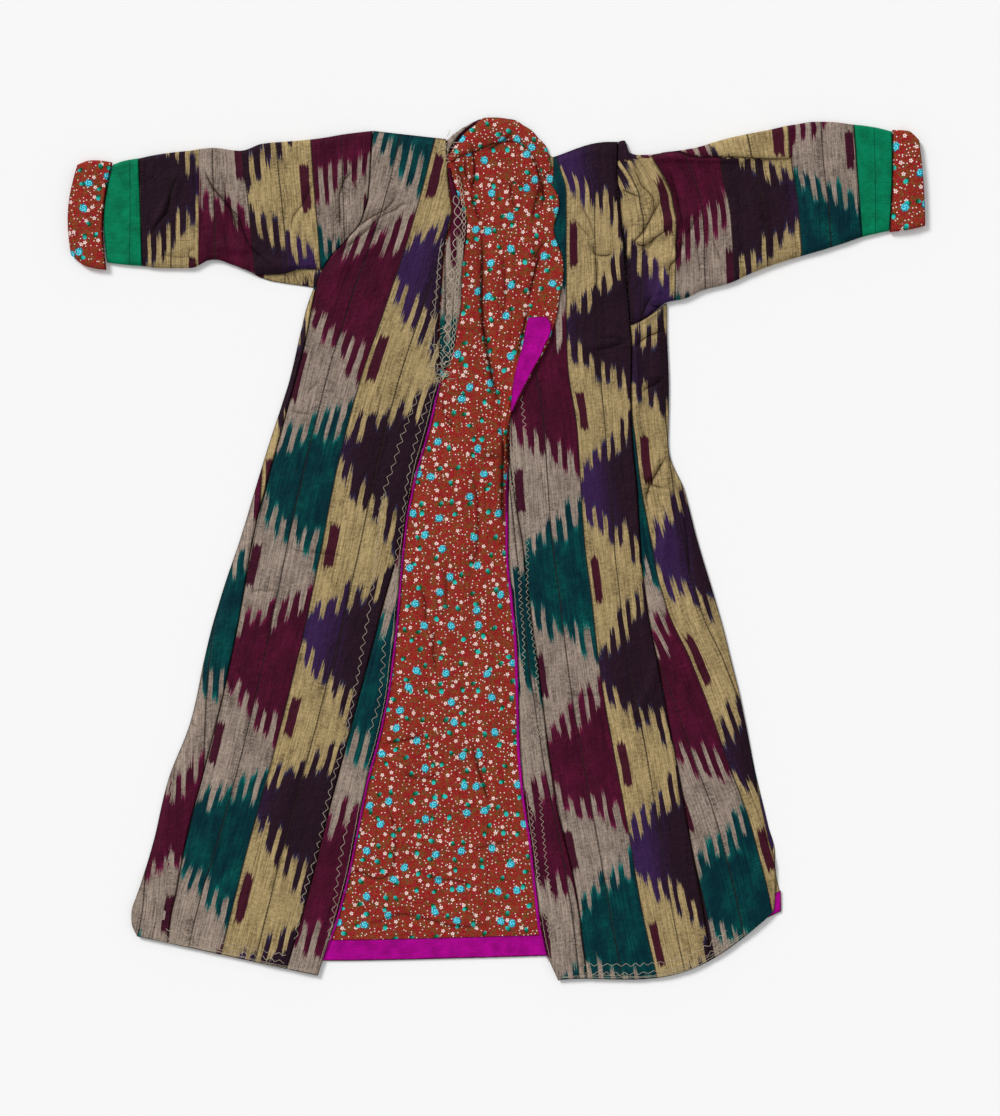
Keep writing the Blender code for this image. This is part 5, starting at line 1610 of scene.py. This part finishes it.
# each: its middle, how far it spreads across and along, and how many threads
frays = [((-78, 255), 5, 8, 34), ((-69, 579), 3, 10, 14), ((-86, 286), 3, 7, 10), ((-73, 318), 4, 12, 8)]
loopRows = [
    {"reach": 5.0, "pitch": 15.5, "guide": [(-60, 512), (-56, 484), (-57, 448), (-62, 416), (-67, 376),
                                            (-69, 339), (-72, 296), (-73, 265)]},
    {"reach": 2.4, "pitch": 9.0, "guide": [(-56, 541), (-49, 506), (-47, 470), (-51, 434), (-56, 390),
                                           (-59, 347), (-62, 310), (-67, 271)]},
]


def surfaceFinder(pieces):
    # a function that gives the height of the highest of these pieces under each point
    points, faces, start = [], [], 0
    for piece in pieces:
        shape = piece.data
        place = np.zeros(len(shape.vertices) * 3, np.float32)
        shape.vertices.foreach_get("co", place)
        corners = np.zeros(len(shape.loops), np.int32)
        shape.loops.foreach_get("vertex_index", corners)
        points.append(place.reshape(-1, 3))
        faces.append(corners.reshape(-1, 4) + start)
        start += len(shape.vertices)
    tree = BVHTree.FromPolygons(np.concatenate(points).tolist(), np.concatenate(faces).tolist())

    def heightAt(x, y):
        # where a straight line down meets the cloth
        hit = tree.ray_cast(Vector((x * metres, y * metres, 0.1)), Vector((0, 0, -1)))[0]
        return hit.z / metres if hit else 4.0

    return heightAt


def addThreads(name, paths, thick, heightAt, sides=5):
    # round threads along paths of x, y and rise above the cloth
    points, faces, start = [], [], 0
    turn = np.linspace(0, 2 * math.pi, sides, endpoint=False)
    for path in paths:
        z = np.array([heightAt(x, y) for x, y in path[:, :2]]) + path[:, 2] + thick * 0.25
        line = np.stack([path[:, 0], path[:, 1], z], -1)
        ahead = np.gradient(line, axis=0)
        ahead /= np.linalg.norm(ahead, axis=1)[:, None]
        aside = np.cross(ahead, (0, 0, 1))
        aside /= np.linalg.norm(aside, axis=1)[:, None]
        above = np.cross(aside, ahead)
        ring = aside[:, None] * np.cos(turn)[None, :, None] + above[:, None] * np.sin(turn)[None, :, None]
        thin = np.full(len(line), thick / 2)
        thin[[0, -1]] = 0.05
        points.append((line[:, None] + ring * thin[:, None, None]).reshape(-1, 3))
        index = np.arange(len(line) * sides).reshape(len(line), sides) + start
        follow = np.roll(index, -1, 1)
        faces.append(np.stack([index[:-1], follow[:-1], follow[1:], index[1:]], -1).reshape(-1, 4))
        start += len(line) * sides
    return addMesh(name, np.concatenate(points), np.concatenate(faces), thread)


def along(guide, step):
    # points every step along a guide, with the direction square to it
    guide = np.array(guide, float)
    run = np.append(0, np.cumsum(np.hypot(*np.diff(guide, axis=0).T)))
    at = np.arange(0, run[-1], step)
    x, y = (smoothThrough(run, guide[:, i], at) for i in (0, 1))
    ahead = np.stack([np.gradient(x), np.gradient(y)], -1)
    ahead /= np.linalg.norm(ahead, axis=1)[:, None]
    return at, x, y, -ahead[:, 1], ahead[:, 0]


def zigzag(guide, pitch, reach, seed):
    # a hand-sewn zigzag: the arcsine of a sine makes near-straight strokes, each a little longer or shorter
    # than the last
    at, x, y, sideX, sideY = along(guide, pitch / 8)
    uneven = 1 + 0.35 * softNoise(at, 0 * at, pitch * 1.3, seed)
    drift = 1.3 * softNoise(at, 0 * at, 60, seed + 1)
    wave = np.sin(2 * math.pi * at / pitch + 1.2 * softNoise(at, 0 * at, 41, seed + 2))
    swing = reach * uneven * np.arcsin(0.97 * wave) / 1.33 + drift
    return np.stack([x + sideX * swing, y + sideY * swing, 0 * at], -1)


def hemGuide(side, inset, shares):
    # a line above the front's hem and square to it by the inset, from its opening to its side
    last = fronts[side]["rows"][-1]
    share = np.linspace(*shares, 24)
    x = last.edge + (last.side - last.edge) * share
    sag = last.sag * np.sin(math.pi * share ** fronts[side]["skew"])
    y = last.edgeY + (last.sideY - last.edgeY) * share - sag
    ahead = np.stack([np.gradient(x), np.gradient(y)], -1)
    ahead /= np.linalg.norm(ahead, axis=1)[:, None]
    upward = np.stack([-ahead[:, 1], ahead[:, 0]], -1) * np.sign(ahead[:, :1])
    return np.stack([x, y], -1) + inset * upward


def frayed(middle, spreadX, spreadY, count, seed):
    # loose curly thread ends about a worn place
    luck = np.random.RandomState(seed)
    found = []
    for i in range(count):
        share = np.linspace(0, 1, 13)
        turn = luck.uniform(0, 2 * math.pi) + luck.uniform(-3.4, 3.4) * share
        step = luck.uniform(6, 17) / 12
        x = middle[0] + luck.normal(0, spreadX) + np.cumsum(np.cos(turn)) * step
        y = middle[1] + luck.normal(0, spreadY) + np.cumsum(np.sin(turn)) * step
        found.append(np.stack([x, y, 0.2 + 0.6 * np.sin(math.pi * share)], -1))
    return found


def openingGuide(side, inset, top, low):
    # a line beside the edge of an opening
    y = np.linspace(top, low, 60)
    edge = through(fronts[side]["rows"], "edgeY", "edge", y)
    return np.stack([edge + {"left": -inset, "right": inset}[side], y], -1)


def loops(guide, pitch, reach, seed):
    # a chain of long loops crossing over each other down the guide
    at, x, y, sideX, sideY = along(guide, pitch / 9)
    found = []
    for turn in (0.0, math.pi):
        swing = reach * np.sin(math.pi * at / pitch + turn) * (1 + 0.2 * softNoise(at, 0 * at, 17, seed))
        over = 0.3 * np.cos(math.pi * at / pitch + turn)
        found.append(np.stack([x + sideX * swing, y + sideY * swing, over], -1))
    return found


heightAt = surfaceFinder([piece for node, piece in built.items() if not node.startswith("back_p")])
for side, data in stitchRows.items():
    looks = zigzagLooks
    paths = [zigzag(guide, looks["pitch"][side], looks["reach"][side], 7 * i)
             for i, guide in enumerate(data["guides"])]
    for i, inset in enumerate(data["hem"]):
        guide = hemGuide(side, inset, data["hemFrom"])
        paths.append(zigzag(guide, looks["hemPitch"], looks["hemReach"], 50 + 7 * i))
    addThreads(f"{side}FrontStitches", paths, looks["thick"], heightAt)
    guides = [openingGuide(side, *row) for row in data["straight"]]
    guides += [hemGuide(side, inset, (0.02, 0.9)) for inset in data["hemStraight"]]
    paths = [zigzag(guide, runningLooks["pitch"], runningLooks["reach"], 9 * i)
             for i, guide in enumerate(guides)]
    addThreads(f"{side}FrontRows", paths, runningLooks["thick"], heightAt, sides=4)
collarPaths = [path for i, row in enumerate(loopRows)
               for path in loops(row["guide"], row["pitch"], row["reach"], i)]
addThreads("leftCollarStitches", collarPaths, runningLooks["loopThick"], heightAt)
paths = [path for i, fray in enumerate(frays) for path in frayed(*fray, i + 3)]
addThreads("leftCollarFrays", paths, 0.75, heightAt)
say("stitches")

# The table, the light and the view

stageLooks = {
    "floor": "#fdfdfd", "floorReach": 12.0, "floorLow": -0.0004,
    "sky": 0.52, "key": 2.36, "keyPlace": (-2.2, 2.4, 2.3), "soft": 0.32,
    "far": 4.0, "wide": 1.45, "tall": 1.116, "sensor": 36.0, "aside": (0.005, -0.013),
}


def addFloor():
    # one large square, just under the robe
    reach, low = stageLooks["floorReach"], stageLooks["floorLow"]
    corners = [(-reach, -reach, low), (reach, -reach, low), (reach, reach, low), (-reach, reach, low)]
    shape = bpy.data.meshes.new("floor")
    shape.from_pydata(corners, [], [(0, 1, 2, 3)])
    made = bpy.data.objects.new("floor", shape)
    bpy.context.scene.collection.objects.link(made)
    material, shader = surface("paleTable", 0.9, 0.02)[::2]
    shader.inputs["Base Color"].default_value = colour(stageLooks["floor"])
    shape.materials.append(material)


def addLight(name, strength, place, softness):
    # a sun that shines from this place towards the middle
    lamp = bpy.data.lights.new(name, "SUN")
    lamp.energy = strength
    lamp.angle = softness
    made = bpy.data.objects.new(name, lamp)
    made.location = place
    made.rotation_euler = (-Vector(place)).to_track_quat("-Z", "Y").to_euler()
    bpy.context.scene.collection.objects.link(made)


addFloor()
addLight("keyLight", stageLooks["key"], stageLooks["keyPlace"], stageLooks["soft"])
world = bpy.data.worlds.new("studio")
world.use_nodes = True
world.node_tree.nodes["Background"].inputs["Color"].default_value = (1, 1, 1, 1)
world.node_tree.nodes["Background"].inputs["Strength"].default_value = stageLooks["sky"]
scene = bpy.context.scene
scene.world = world

view = bpy.data.cameras.new("above")
view.sensor_fit = "AUTO"
view.sensor_width = stageLooks["sensor"]
view.lens = stageLooks["sensor"] * stageLooks["far"] / (stageLooks["tall"] * stageLooks["wide"])
camera = bpy.data.objects.new("above", view)
camera.location = (*stageLooks["aside"], stageLooks["far"])
scene.collection.objects.link(camera)
scene.camera = camera
scene.view_settings.view_transform = "Standard"
scene.view_settings.look = "None"
